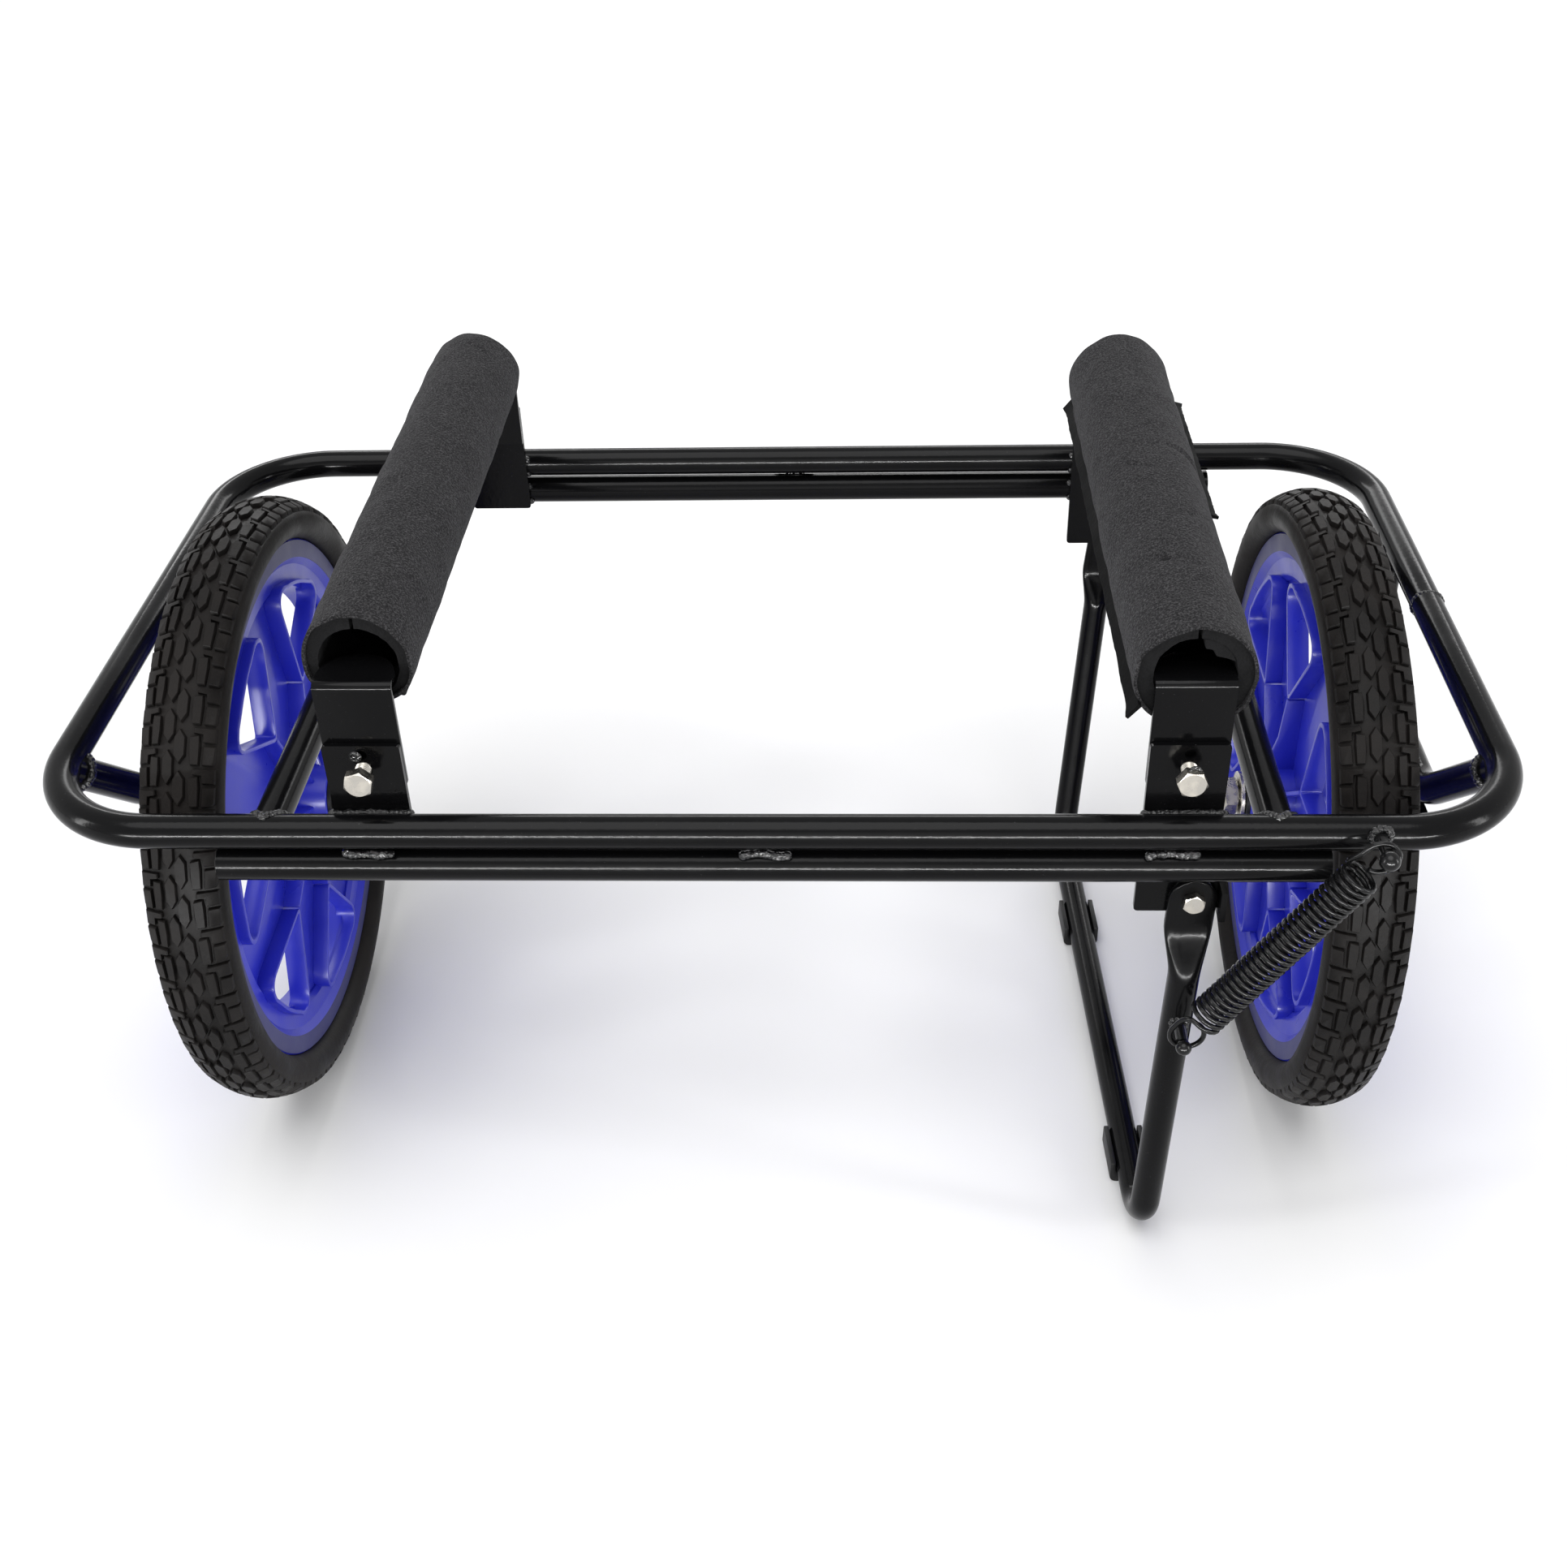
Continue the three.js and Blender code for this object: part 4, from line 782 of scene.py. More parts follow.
screwSizes = {
    8: {"across": 0.013, "head": 0.0053, "nut": 0.0065, "pitch": 0.00125},
    6: {"across": 0.010, "head": 0.004, "nut": 0.005, "pitch": 0.001},
}
hexagonSize = {"face": 0.96, "reach": 1.05, "slope": 30, "past": 0.001}
threadSize = {"root": 0.87, "crestStart": 0.42, "crestEnd": 0.58, "bore": 0.9}


def hexagonBlock(name, across, height, turn, bore=0.0, chamferBoth=False):
    # a hexagon along -Y from the origin, its corners chamfered to a round face
    corner = across / math.sqrt(3)
    angles = [turn + math.pi * i / 3 for i in range(6)]
    outline = [Vector((corner * math.sin(angle), 0, corner * math.cos(angle))) for angle in angles]
    block = prism(name, outline, origin, Vector((0, -height, 0)), zincPlate)
    face, reach = across / 2 * hexagonSize["face"], corner * hexagonSize["reach"]
    drop = (reach - face) * math.tan(math.radians(hexagonSize["slope"]))
    profile = [(0, -height), (face, -height), (reach, drop - height)]
    profile += [(reach, -drop), (face, 0), (0, 0)] if chamferBoth else [(reach, 0), (0, 0)]
    combine(block, turned("cone", profile, origin, "y", zincPlate, 96), "INTERSECT")
    if bore:
        past = hexagonSize["past"]
        hole = [(0, -height - past), (bore, -height - past), (bore, past), (0, past)]
        combine(block, turned("bore", hole, origin, "y", zincPlate, 48), "DIFFERENCE")
    shadeSmooth(block.data, 20)
    return block


def threadRod(name, radius, pitch, start, end):
    # a threaded rod along Y, its crests as rings
    root = radius * threadSize["root"]
    profile = [(0, start)]
    reach = start
    while reach < end - pitch:
        crests = [(radius, reach + pitch * threadSize[edge]) for edge in ("crestStart", "crestEnd")]
        profile += [(root, reach)] + crests
        reach += pitch
    profile += [(root, end), (0, end)]
    return turned(name, profile, origin, "y", zincPlate, 32, 60)


def makeScrew(name, size, nodeBolt, nodeNut, end, turn):
    # a screw and its nut, each where its solid is, with the head towards the outside
    dims = screwSizes[size]
    radius = size / 2000
    low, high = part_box(nodeBolt)
    middle = (low + high) / 2
    outer, tail = (low.y, high.y) if end < 0 else (high.y, low.y)
    nutLow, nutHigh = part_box(nodeNut)
    head = hexagonBlock(f"{name}Head", dims["across"], dims["head"], turn)
    move(head, 0, dims["head"], 0)
    shank = threadRod(f"{name}Shank", radius, dims["pitch"], dims["head"] * 0.8, abs(tail - outer))
    bore = radius * threadSize["bore"]
    nut = hexagonBlock(f"{name}Nut", dims["across"], dims["nut"], turn + 0.3, bore, True)
    move(nut, 0, abs((nutHigh.y if end < 0 else nutLow.y) - outer), 0)
    whole = joinObjects(name, [head, shank, nut])
    if end > 0:
        rotate(whole, math.pi, "Z")
    move(whole, middle.x, outer, middle.z)
    shadeSmooth(whole.data, 25)
    return whole


# The raised rim of the unused hole above each bunk bolt

spareHole = {
    "out": 0.0031, "bore": 0.0019, "lip": 0.0007,
    "left": {"below": 0.0062, "aside": -0.0030}, "right": {"below": 0.0072, "aside": 0.0008},
}


def makeSpareHole(end, side):
    bolt = middleOf(f"{end}_{side}_bunk_bolt")
    low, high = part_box(f"{end}_{side}_bunk_plate")
    spot = spareHole[side]
    face, away = (low.y, -1) if end == "front" else (high.y, 1)
    out, bore, lip = spareHole["out"], spareHole["bore"], spareHole["lip"]
    profile = [
        (0.0, 0.00008), (bore * 0.92, 0.00008), (bore, lip * 0.5), (bore * 0.9, lip * 0.7),
        (bore * 1.05, lip), (out * 0.85, lip), (out, lip * 0.4), (out, -0.0002), (0.0, -0.0002),
    ]
    profile = [(radius, reach * away) for radius, reach in profile]
    centre = Vector((bolt.x + spot["aside"], face, high.z - spot["below"]))
    return recalculateNormals(turned("spareHole", profile, centre, "y", weldPaint, 36, 30))


spareHoles = joinObjects("spareHoles", [makeSpareHole(end, side) for end in cartEnds for side in cartSides])
place(spareHoles, "frame", "black_paint")

screwObjects = []
screwNodes = []
for endName, end in cartEnds.items():
    for name, size, turn in (("left_bunk", 8, 0.22), ("right_bunk", 8, 0.62), ("pivot", 6, 0.15)):
        bolt, nut = f"{endName}_{name}_bolt", f"{endName}_{name}_nut"
        screwObjects.append(makeScrew(f"{endName}_{name}", size, bolt, nut, end, turn))
        screwNodes += [bolt, nut]
place(joinObjects("screws", screwObjects), "frame", "zinc_plate", *screwNodes)
print("scene: screws made")

# Axles

axleSize = {
    "radius": 0.006, "chamfer": 0.001, "collar": 0.011, "collarFace": 0.0104, "collarBore": 0.004,
    "washerEdge": 0.0003, "nutAcross": 0.019, "nutBore": 0.93,
}
for side, sign in cartSides.items():
    # a box's two corners, taken as the inner and outer one
    inwards, outwards = (0, 1) if sign > 0 else (1, 0)
    middle = middleOf(f"{side}_axle")
    centre = Vector((0, middle.y, middle.z))
    inner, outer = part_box(f"{side}_axle")[inwards].x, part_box(f"{side}_axle")[outwards].x
    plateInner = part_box(f"{side}_axle_plate")[inwards].x
    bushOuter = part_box(f"{side}_outer_bush")[outwards].x
    radius, chamfer = axleSize["radius"], axleSize["chamfer"]
    shank = turned("shank", [
        (0, inner), (radius - chamfer, inner), (radius, inner + sign * chamfer), (radius, outer), (0, outer),
    ], centre, "x", zincPlate)
    start, finish = bushOuter + sign * seat, plateInner - sign * seat
    collar = turned("collar", [
        (axleSize["collarBore"], start), (axleSize["collarFace"], start),
        (axleSize["collar"], bushOuter + sign * chamfer), (axleSize["collar"], finish),
        (axleSize["collarBore"], finish),
    ], centre, "x", zincPlate)
    low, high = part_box(f"{side}_axle_washer")
    bore, edge, rim = radius + seat, axleSize["washerEdge"], (high.z - low.z) / 2
    washer = turned("washer", [
        (bore, low.x), (rim - edge, low.x), (rim, low.x + edge), (rim, high.x - edge), (rim - edge, high.x),
        (bore, high.x),
    ], centre, "x", zincPlate, 64)
    low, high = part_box(f"{side}_axle_nut")
    nutBore = radius * axleSize["nutBore"]
    nut = hexagonBlock("axleNut", axleSize["nutAcross"], high.x - low.x, 0.4, nutBore, True)
    rotate(nut, -math.pi / 2, "Z")
    move(nut, high.x, centre.y, centre.z)
    hardware = joinObjects(f"{side}AxleSet", [shank, collar, washer, nut])
    place(hardware, "frame", "zinc_plate", f"{side}_axle", f"{side}_axle_washer", f"{side}_axle_nut")

# Wheels

wheelRadius = spanOf("right_tyre").z / 2
wheelHalf = spanOf("right_tyre").x / 2
rimSize = {
    "seat": 0.1537, "flangeInner": 0.142, "flankFoot": 0.139, "barrel": 0.126, "halfWidth": 0.014,
    "barrelHalf": 0.0095, "footHalf": 0.0105, "cells": 7, "leftTurn": 12.9, "rightTurn": 38.9,
    "edge": 0.0008, "lap": 0.003, "faceLift": 0.00015,
}
cellSize = {
    "apex": 0.071, "lean": 36.5, "outer": 0.1275, "corner": 0.0095, "wall": 0.0024, "wallTop": -0.0158,
    "floor": -0.0062, "back": -0.0038, "ribTop": -0.0175, "hubRibTop": -0.024, "ribStart": 0.017,
    "tip": 0.0022,
}
hubSize = {"radius": 0.020, "bore": 0.0085, "lip": 0.0034, "step": 0.0028, "edge": 0.0006, "cone": 0.017}
bushSize = {
    "bore": 0.0063, "edge": 0.0006, "flange": 0.0022, "shoulder": 0.0024, "sleeve": 0.011, "length": 0.017,
}


def cellOutline(grow):
    # a rounded triangle along +Y with its apex towards the hub, grown outwards on every side
    lean = math.radians(cellSize["lean"])
    apex = cellSize["apex"] - grow / math.sin(lean)
    outer = cellSize["outer"] + grow
    half = 0.0
    for _ in range(40):
        half = (math.sqrt(outer ** 2 - half ** 2) - apex) * math.tan(lean)
    corner = Vector((0, math.sqrt(outer ** 2 - half ** 2), half))
    tip = Vector((0, apex, 0))
    side = (tip - corner).normalized()
    edge = Vector((0, -corner.z, corner.y)).normalized() * -1
    blend = (cellSize["corner"] + grow) * 1.35
    start, finish = corner + side * blend, corner + edge * blend
    upper = []
    for step in range(9):
        t = step / 8
        upper.append(start * (1 - t) ** 2 + corner * 2 * t * (1 - t) + finish * t * t)
    reach = math.atan2(upper[-1].z, upper[-1].y)
    arc = [
        Vector((0, outer * math.cos(reach * share), outer * math.sin(reach * share)))
        for share in (0.75, 0.5, 0.25, 0, -0.25, -0.5, -0.75)
    ]
    rounding = cellSize["tip"] + grow
    lower = tip + Vector((0, math.cos(lean), math.sin(lean))) * rounding
    nose = tip + Vector((0, rounding * 0.45, 0))
    half = [lower] + upper
    return half + arc + [Vector((0, point.y, -point.z)) for point in reversed(half)] + [nose]


def makeCellWall():
    # the wall round one opening and the single rib from its apex to the hub
    size = cellSize
    top, back = rightward * size["wallTop"], rightward * size["back"]
    wall = prism("wall", cellOutline(size["wall"]), top, back, rimBlue)
    inside = prism("inside", cellOutline(0), rightward * -0.05, rightward * 0.05, rimBlue)
    combine(wall, inside, "DIFFERENCE")
    ribEnd = size["apex"] - size["wall"] * 1.2
    outline = [Vector((x, y, 0)) for x, y in (
        (size["hubRibTop"], size["ribStart"]), (size["ribTop"], ribEnd * 0.62), (size["wallTop"], ribEnd),
        (size["back"], ribEnd), (size["back"], size["ribStart"]),
    )]
    half = Vector((0, 0, size["wall"] / 2))
    rib = prism("rib", outline, -half, half, rimBlue)
    return bevel(joinObjects("cell", [wall, rib], rimBlue), 0.0006, 40)


def makeSpider():
    # the floor between the openings, with their walls and ribs on its inner side
    holes = runTree(
        prism("hole", cellOutline(0.0004), rightward * -0.03, rightward * 0.03, rimBlue),
        roundTree, {"Count": rimSize["cells"], "Material": rimBlue})
    start, back, floor = cellSize["ribStart"], cellSize["back"], cellSize["floor"]
    rim = rimSize["barrel"] + rimSize["lap"]
    profile = [(start, floor), (2 * start, floor), (rim, floor), (rim, back), (start, back)]
    disc = turned("disc", profile, origin, "x", rimBlue, 126)
    combine(disc, holes, "DIFFERENCE")
    bevel(disc, 0.0004, 50)
    walls = runTree(makeCellWall(), roundTree, {"Count": rimSize["cells"], "Material": rimBlue})
    for piece in (disc, walls):
        shadeSmooth(piece.data, 35)
    return [disc, walls]


def makeRimRing():
    size = rimSize
    seatRadius, inner, half, edge = size["seat"], size["flangeInner"], size["halfWidth"], size["edge"]
    flank = [
        (size["flankFoot"], size["footHalf"]), (size["barrel"] + size["lap"], size["barrelHalf"] + 0.0003),
        (size["barrel"], size["barrelHalf"] - 0.002),
    ]
    profile = [(seatRadius, -half + edge), (seatRadius, half - edge), (seatRadius - edge, half)]
    profile += [(inner + edge, half), (inner, half - edge)] + flank
    profile += [(radius, -reach) for radius, reach in reversed(flank)]
    profile += [(inner, -half + edge), (inner + edge, -half), (seatRadius - edge, -half)]
    return turned("ring", profile, origin, "x", rimBlue, 180, 30)


def makeFlangeFace(side):
    # the flat ring beside the tyre, greyer than the rest of the moulding: a painted reflection of the light
    # that grazes it
    inner, outer = rimSize["flangeInner"], rimSize["seat"]
    face = side * (rimSize["halfWidth"] + rimSize["faceLift"])
    back = side * (rimSize["halfWidth"] - 0.0006)
    profile = [(inner + 0.0007, back), (inner + 0.0009, face), (outer - 0.0008, face), (outer - 0.0006, back)]
    return turned("flange", profile, origin, "x", flangeBluePaintedGlare, 180, 30)


def makeHub(half):
    size = hubSize
    lip, step = size["radius"] - size["lip"], size["radius"] - size["step"]
    edge, cone = half - size["edge"], half - size["cone"]
    profile = [
        (size["bore"], -half), (lip, -half), (step, -edge), (size["radius"], -cone), (size["radius"], cone),
        (step, edge), (lip, half), (size["bore"], half),
    ]
    return turned("hub", profile, origin, "x", rimBlue, 72, 30)


roundTree = roundXTree()


def makeRim(turn):
    # the whole moulding, turned so that its openings stand as they do on this wheel
    spider = makeSpider()
    for piece in spider:
        rotate(piece, math.radians(turn), "X")
    hub = makeHub(spanOf("right_rim").x / 2)
    return joinObjects("rim", spider + [makeRimRing(), makeFlangeFace(1), makeFlangeFace(-1), hub])


treadSize = {
    "pitches": 52, "depth": 0.0026, "curve": 17.5, "gap": 0.0014, "bevel": 0.0006, "lozenge": 0.93,
    "centre": 0.0029, "inner": 0.0072, "step": 0.0122, "outer": 0.0196,
}
pitch = 2 * math.pi * wheelRadius / treadSize["pitches"]


def treadTop(across):
    return wheelRadius - treadSize["curve"] * across * across


def treadPoint(along, across, rise):
    turn = along / wheelRadius
    radius = treadTop(across) + rise
    return Vector((across, radius * math.sin(turn), radius * math.cos(turn)))


def treadBlock(outline):
    # a block whose outline is (along, across) from the middle of its pitch
    middle = Vector((sum(a for a, _ in outline), sum(b for _, b in outline), 0)) / len(outline)
    edge = treadSize["bevel"]
    rings = []
    for rise, shrink in ((-treadSize["depth"] - edge, 0.0), (-edge, edge * 0.6), (0.0, edge * 1.5)):
        ring = []
        for along, across in outline:
            out = Vector((along, across, 0)) - middle
            pulled = middle + out * (1 - shrink / max(out.length, 1e-6))
            ring.append(treadPoint(pulled.x, pulled.y, rise))
        rings.append(ring)
    return loft(rings)


def makeTreadPitch():
    # interlocking lozenges down the middle and notched blocks at the shoulders
    gap = treadSize["gap"]
    half = pitch / 2
    lozengeHalf = half * treadSize["lozenge"] - gap / 2
    reach = half - gap / 2
    wide = treadSize["centre"]
    corners = ((-1, 0), (-0.55, -1), (0.55, -1), (1, 0), (0.55, 1), (-0.55, 1))
    blocks = [
        [(middle + lozengeHalf * along, aside + wide * across) for along, across in corners]
        for middle, aside in ((0, wide), (half, -wide))
    ]
    for hand in (1, -1):
        shift = half if hand < 0 else 0.0
        inner, step, outer = (treadSize[name] * hand for name in ("inner", "step", "outer"))
        shoulders = (
            ((-1, inner * 1.16), (-0.25, inner), (0.55, inner * 1.1), (0.62, step),
             (0.1, step + hand * 0.0006), (-1, step)),
            ((0.18, step + hand * 0.0019), (0.72, step + hand * 0.0012), (0.72, inner * 1.25),
             (1, inner * 1.3), (1, outer), (0.18, outer)),
            ((-1, step + hand * 0.0014), (0.06, step + hand * 0.002), (0.06, outer),
             (-0.82, outer * 0.99), (-1, outer * 0.93)),
        )
        blocks += [[(shift + reach * along, across) for along, across in outline] for outline in shoulders]
    vertices, faces = [], []
    for outline in blocks:
        blockVertices, blockFaces = treadBlock(outline)
        faces += [tuple(index + len(vertices) for index in face) for face in blockFaces]
        vertices += blockVertices
    return recalculateNormals(newObject("treadPitch", vertices, faces, tyreRubber, 40))


def makeTyre():
    blocks = runTree(makeTreadPitch(), roundTree, {"Count": treadSize["pitches"], "Material": tyreRubber})
    bead = rimSize["seat"] + seat
    # half the section, as (distance across, radius), from the middle of the tread down to the bead
    foot = treadSize["depth"]
    half = [(across, treadTop(across) - foot) for across in (0.0, 0.004, 0.008, 0.012, 0.016, 0.0192)]
    half += [
        (0.0202, wheelRadius - 0.0098), (0.0209, wheelRadius - 0.0125), (wheelHalf, wheelRadius - 0.0155),
        (wheelHalf - 0.0002, wheelRadius - 0.0175), (0.0205, wheelRadius - 0.0205),
        (0.0181, wheelRadius - 0.0232), (0.0156, bead + 0.0004), (0.013, bead), (0.0, bead),
    ]
    profile = [(radius, across) for across, radius in half]
    profile += [(radius, -across) for across, radius in reversed(half[1:-1])]
    body = turned("carcass", profile, origin, "x", tyreRubber, 4 * treadSize["pitches"], 40)
    return joinObjects("tyre", [body, blocks], tyreRubber)


tyreMaster = makeTyre()
rimMasters = {"left": makeRim(rimSize["leftTurn"]), "right": makeRim(rimSize["rightTurn"])}
print("scene: wheel masters made")


def makeBushes(side, sign):
    # flanged plastic bushes at both ends of the hub
    size = bushSize
    bushes = []
    for nodeName in (f"{side}_inner_bush", f"{side}_outer_bush"):
        low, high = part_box(nodeName)
        centre = middleOf(nodeName)
        outward = -1 if centre.x < sign * axleMiddle.x else 1
        face = high.x if outward > 0 else low.x
        radius = (high.z - low.z) / 2
        profile = [
            (size["bore"], 0), (radius - size["edge"], 0), (radius, size["edge"]), (radius, size["flange"]),
            (size["sleeve"], size["shoulder"]), (size["sleeve"], size["length"]),
            (size["bore"], size["length"]),
        ]
        profile = [(rim, face - outward * reach) for rim, reach in profile]
        bushes.append(turned("bush", profile, Vector((0, centre.y, centre.z)), "x", blackPlastic, 64))
    return joinObjects(f"{side}Bushes", bushes)


for side, sign in cartSides.items():
    spot = Matrix.Translation(middleOf(f"{side}_tyre")) @ Matrix.Scale(sign, 4, rightward)
    masters = ((tyreMaster, "tyre", "tyre_rubber"), (rimMasters[side], "rim", "blue_plastic"))
    for master, name, slotName in masters:
        piece = addObject(f"{side}{name.title()}", master.data.copy())
        piece.data.transform(spot)
        if sign < 0:
            piece.data.flip_normals()
        place(piece, f"{side}_wheel", slotName, f"{side}_{name}")
    bushes = makeBushes(side, sign)
    place(bushes, f"{side}_wheel", "black_plastic", f"{side}_inner_bush", f"{side}_outer_bush")
bpy.data.objects.remove(tyreMaster)
for master in rimMasters.values():
    bpy.data.objects.remove(master)
print("scene: wheels made")

# Bunk bars

barSize = {
    "strap": 0.003, "bend": 0.0008, "tongue": 0.0275, "top": 0.0775, "bottom": 0.020, "half": 0.178,
    "overlap": 0.0005,
}
barBead = {"aside": 0.006, "length": 0.014, "sink": 0.0022, "radius": 0.0018, "seed": 11}


def bracketSections(x, end):
    # the strap's cross-sections from its foot up, round the bend and out to the tongue's round tip
    outerY = plateFace - barSize["strap"] - seat
    top, bottom = barSize["top"], barSize["bottom"]
    bend = barSize["bend"] + barSize["strap"]
    half = strapWidth / 2
    spine = [((outerY, bottom + rise), (1, 0)) for rise in (0.0, 0.001, top - bend - bottom)]
    for step in range(1, 9):
        turn = math.pi / 2 * step / 8
        normal = (math.cos(turn), math.sin(turn))
        spine.append(((outerY - bend + bend * normal[0], top - bend + bend * normal[1]), normal))
    straight = outerY - barSize["tongue"] + half
    for step in range(13):
        spine.append(((straight - half * math.sin(math.pi / 2 * step / 12), top), (0, 1)))
    sections = []
    for (y, z), normal in spine:
        wide = half
        if normal == (0, 1) and y < straight:
            wide = math.sqrt(max(half * half - (straight - y) ** 2, 1e-7))
        innerY, innerZ = y - normal[0] * barSize["strap"], z - normal[1] * barSize["strap"]
        sections.append([
            framePoint(x - wide, end * y, z), framePoint(x + wide, end * y, z),
            framePoint(x + wide, end * innerY, innerZ), framePoint(x - wide, end * innerY, innerZ),
        ])
    return sections


def makeBunkBar(side):
    x = middleOf(f"{side}_bunk_bar").x
    half = barSize["half"]
    height = barSize["top"] - barSize["strap"] - tubeRadius + barSize["overlap"]
    beadHeight = height + tubeRadius - barBead["sink"]
    parts, paths = [], []
    for end in cartEnds.values():
        vertices, faces = loft(bracketSections(x, end))
        bracket = bevel(recalculateNormals(newObject("bracket", vertices, faces, blackPaint, 40)), 0.0005, 50)
        shadeSmooth(bracket.data, 40)
        parts.append(bracket)
        for hand in (-1, 1):
            aside = x + hand * barBead["aside"]
            start = framePoint(aside, end * half, beadHeight)
            finish = framePoint(aside, end * (half - barBead["length"]), beadHeight)
            paths.append(linePath(start, finish, 6, 0.0005))
    parts.append(makeOpenTube("barTube", framePoint(x, -half, height), framePoint(x, half, height)))
    parts.append(weldPaths("barWelds", paths, barBead["radius"], barBead["seed"]))
    return joinObjects(f"{side}BunkBar", parts)


for side in cartSides:
    place(makeBunkBar(side), f"{side}_bunk", "black_paint", f"{side}_bunk_bar")

# Pads

padSizes = {
    "left": {
        "radius": 0.028, "height": 0.080, "front": -0.172, "rear": 0.162, "seed": 3.1, "cloth": 0.0016,
        "creases": ((0.93, 70, 0.5, 0.0007, 0.010), (0.09, 100, 0.2, 0.0007, 0.012)),
    },
    "right": {
        "radius": 0.030, "height": 0.076, "front": -0.1833, "rear": 0.1525, "seed": 8.7, "cloth": 0.0016,
        "creases": (
            (0.56, 48, 0.1, 0.0017, 0.011), (0.5, 112, 0.9, 0.0009, 0.012), (0.34, 60, -0.5, 0.0008, 0.013),
            (0.62, 95, -0.3, 0.0006, 0.016), (0.2, 105, 0.4, 0.0008, 0.012),
        ),
    },
}
foamSize = {
    "boreWide": 0.0195, "boreTall": 0.0199, "slit": 0.0009, "setBack": 0.004, "inset": 0.0006,
    "rough": 0.0008, "around": 72, "stations": 24,
}
coverSize = {
    "stations": 150, "around": 120, "inset": 0.0009, "soft": 0.0011, "fine": 0.0005, "ragged": 0.0016,
    "tuck": 0.0012, "endReach": 26, "pinch": 0.0004, "sag": 0.0008,
}
creaseSize = {"reach": 0.012, "furrow": 0.0022, "ridge": 0.45, "aside": 0.0045, "ridgeWide": 0.0032}
seamSize = {"left": 318, "right": 208, "margin": 0.002, "sink": 0.0014, "radius": 0.0017, "steps": 60}
boreMiddle = railHeight + barSize["top"] - barSize["strap"] - 2 * tubeRadius + 0.0002 + foamSize["boreTall"]


def creaseDepth(pad, share, turn):
    # how far the pad's creases pull its cover in, with a ridge beside each furrow
    total = 0.0
    for spot, angle, slant, depth, reach in pad["creases"]:
        along = (share - spot) * (pad["rear"] - pad["front"])
        across = (turn - math.radians(angle)) * pad["radius"]
        narrow, wide = along - across * slant, across + along * slant
        if abs(narrow) < creaseSize["reach"] and abs(wide) < reach * 3:
            furrow = math.exp(-(narrow / creaseSize["furrow"]) ** 2)
            ridge = math.exp(-((narrow - creaseSize["aside"]) / creaseSize["ridgeWide"]) ** 2)
            total += depth * (furrow - creaseSize["ridge"] * ridge) * math.exp(-(wide / reach) ** 2)
    return total


def makeCover(side):
    # a loose sleeve: a little out of round, wrinkled along its length and uneven at its ends
    pad, size = padSizes[side], coverSize
    x = middleOf(f"{side}_pad_cover").x
    outerRings, innerRings = [], []
    for i in range(size["stations"] + 1):
        share = i / size["stations"]
        endPull = max(0.0, 1 - min(share, 1 - share) * size["endReach"])
        inwards = 1 if share < 0.5 else -1
        outerRing, innerRing = [], []
        for j in range(size["around"]):
            turn = 2 * math.pi * j / size["around"]
            seed = Vector((math.cos(turn) * 1.3, share * 9, math.sin(turn) * 1.3))
            seed += Vector((pad["seed"],) * 3)
            soft = noise.noise(seed * 1.1) * size["soft"]
            fine = noise.noise(Vector((seed.x * 2.2, seed.y * 3.1, seed.z * 2.2))) * size["fine"]
            ragged = noise.noise(Vector((turn * 2.6, pad["seed"], round(share)))) * size["ragged"]
            y = pad["front"] + (pad["rear"] - pad["front"]) * share
            y += (ragged + size["tuck"]) * endPull * inwards
            under = max(0.0, -math.sin(turn)) ** 3
            radius = pad["radius"] - size["inset"] + soft + fine - under * size["sag"]
            radius -= endPull ** 2 * size["pinch"] + creaseDepth(pad, share, turn)
            centre = framePoint(x, y, pad["height"])
            ray = Vector((math.cos(turn), 0, math.sin(turn)))
            outerRing.append(centre + ray * radius)
            innerRing.append(centre + ray * (radius - pad["cloth"]))
        outerRings.append(outerRing)
        innerRings.append(innerRing)
    vertices, faces = loft(outerRings + innerRings[::-1], closed=True)
    return recalculateNormals(newObject(f"{side}Cover", vertices, faces, padFabric, 60))


def makeSeam(side):
    # the sewn edge that runs along the cover, low on its inner side
    pad, size = padSizes[side], seamSize
    x = middleOf(f"{side}_pad_cover").x
    turn = math.radians(size[side])
    stations = []
    for i in range(size["steps"] + 1):
        run = pad["rear"] - pad["front"] - 2 * size["margin"]
        y = pad["front"] + size["margin"] + run * i / size["steps"]
        drift = noise.noise(Vector((i * 0.21, pad["seed"], 0))) * 0.05
        ray = Vector((math.cos(turn + drift), 0, math.sin(turn + drift)))
        stations.append((framePoint(x, y, pad["height"]) + ray * (pad["radius"] - size["sink"]), rearward))
    return tube(f"{side}Seam", stations, size["radius"], padFabric, 12)


def slitTurns(gap):
    # angles round a tube that is slit along its top
    around = foamSize["around"]
    return [math.pi / 2 + gap + (2 * math.pi - 2 * gap) * k / around for k in range(around + 1)]


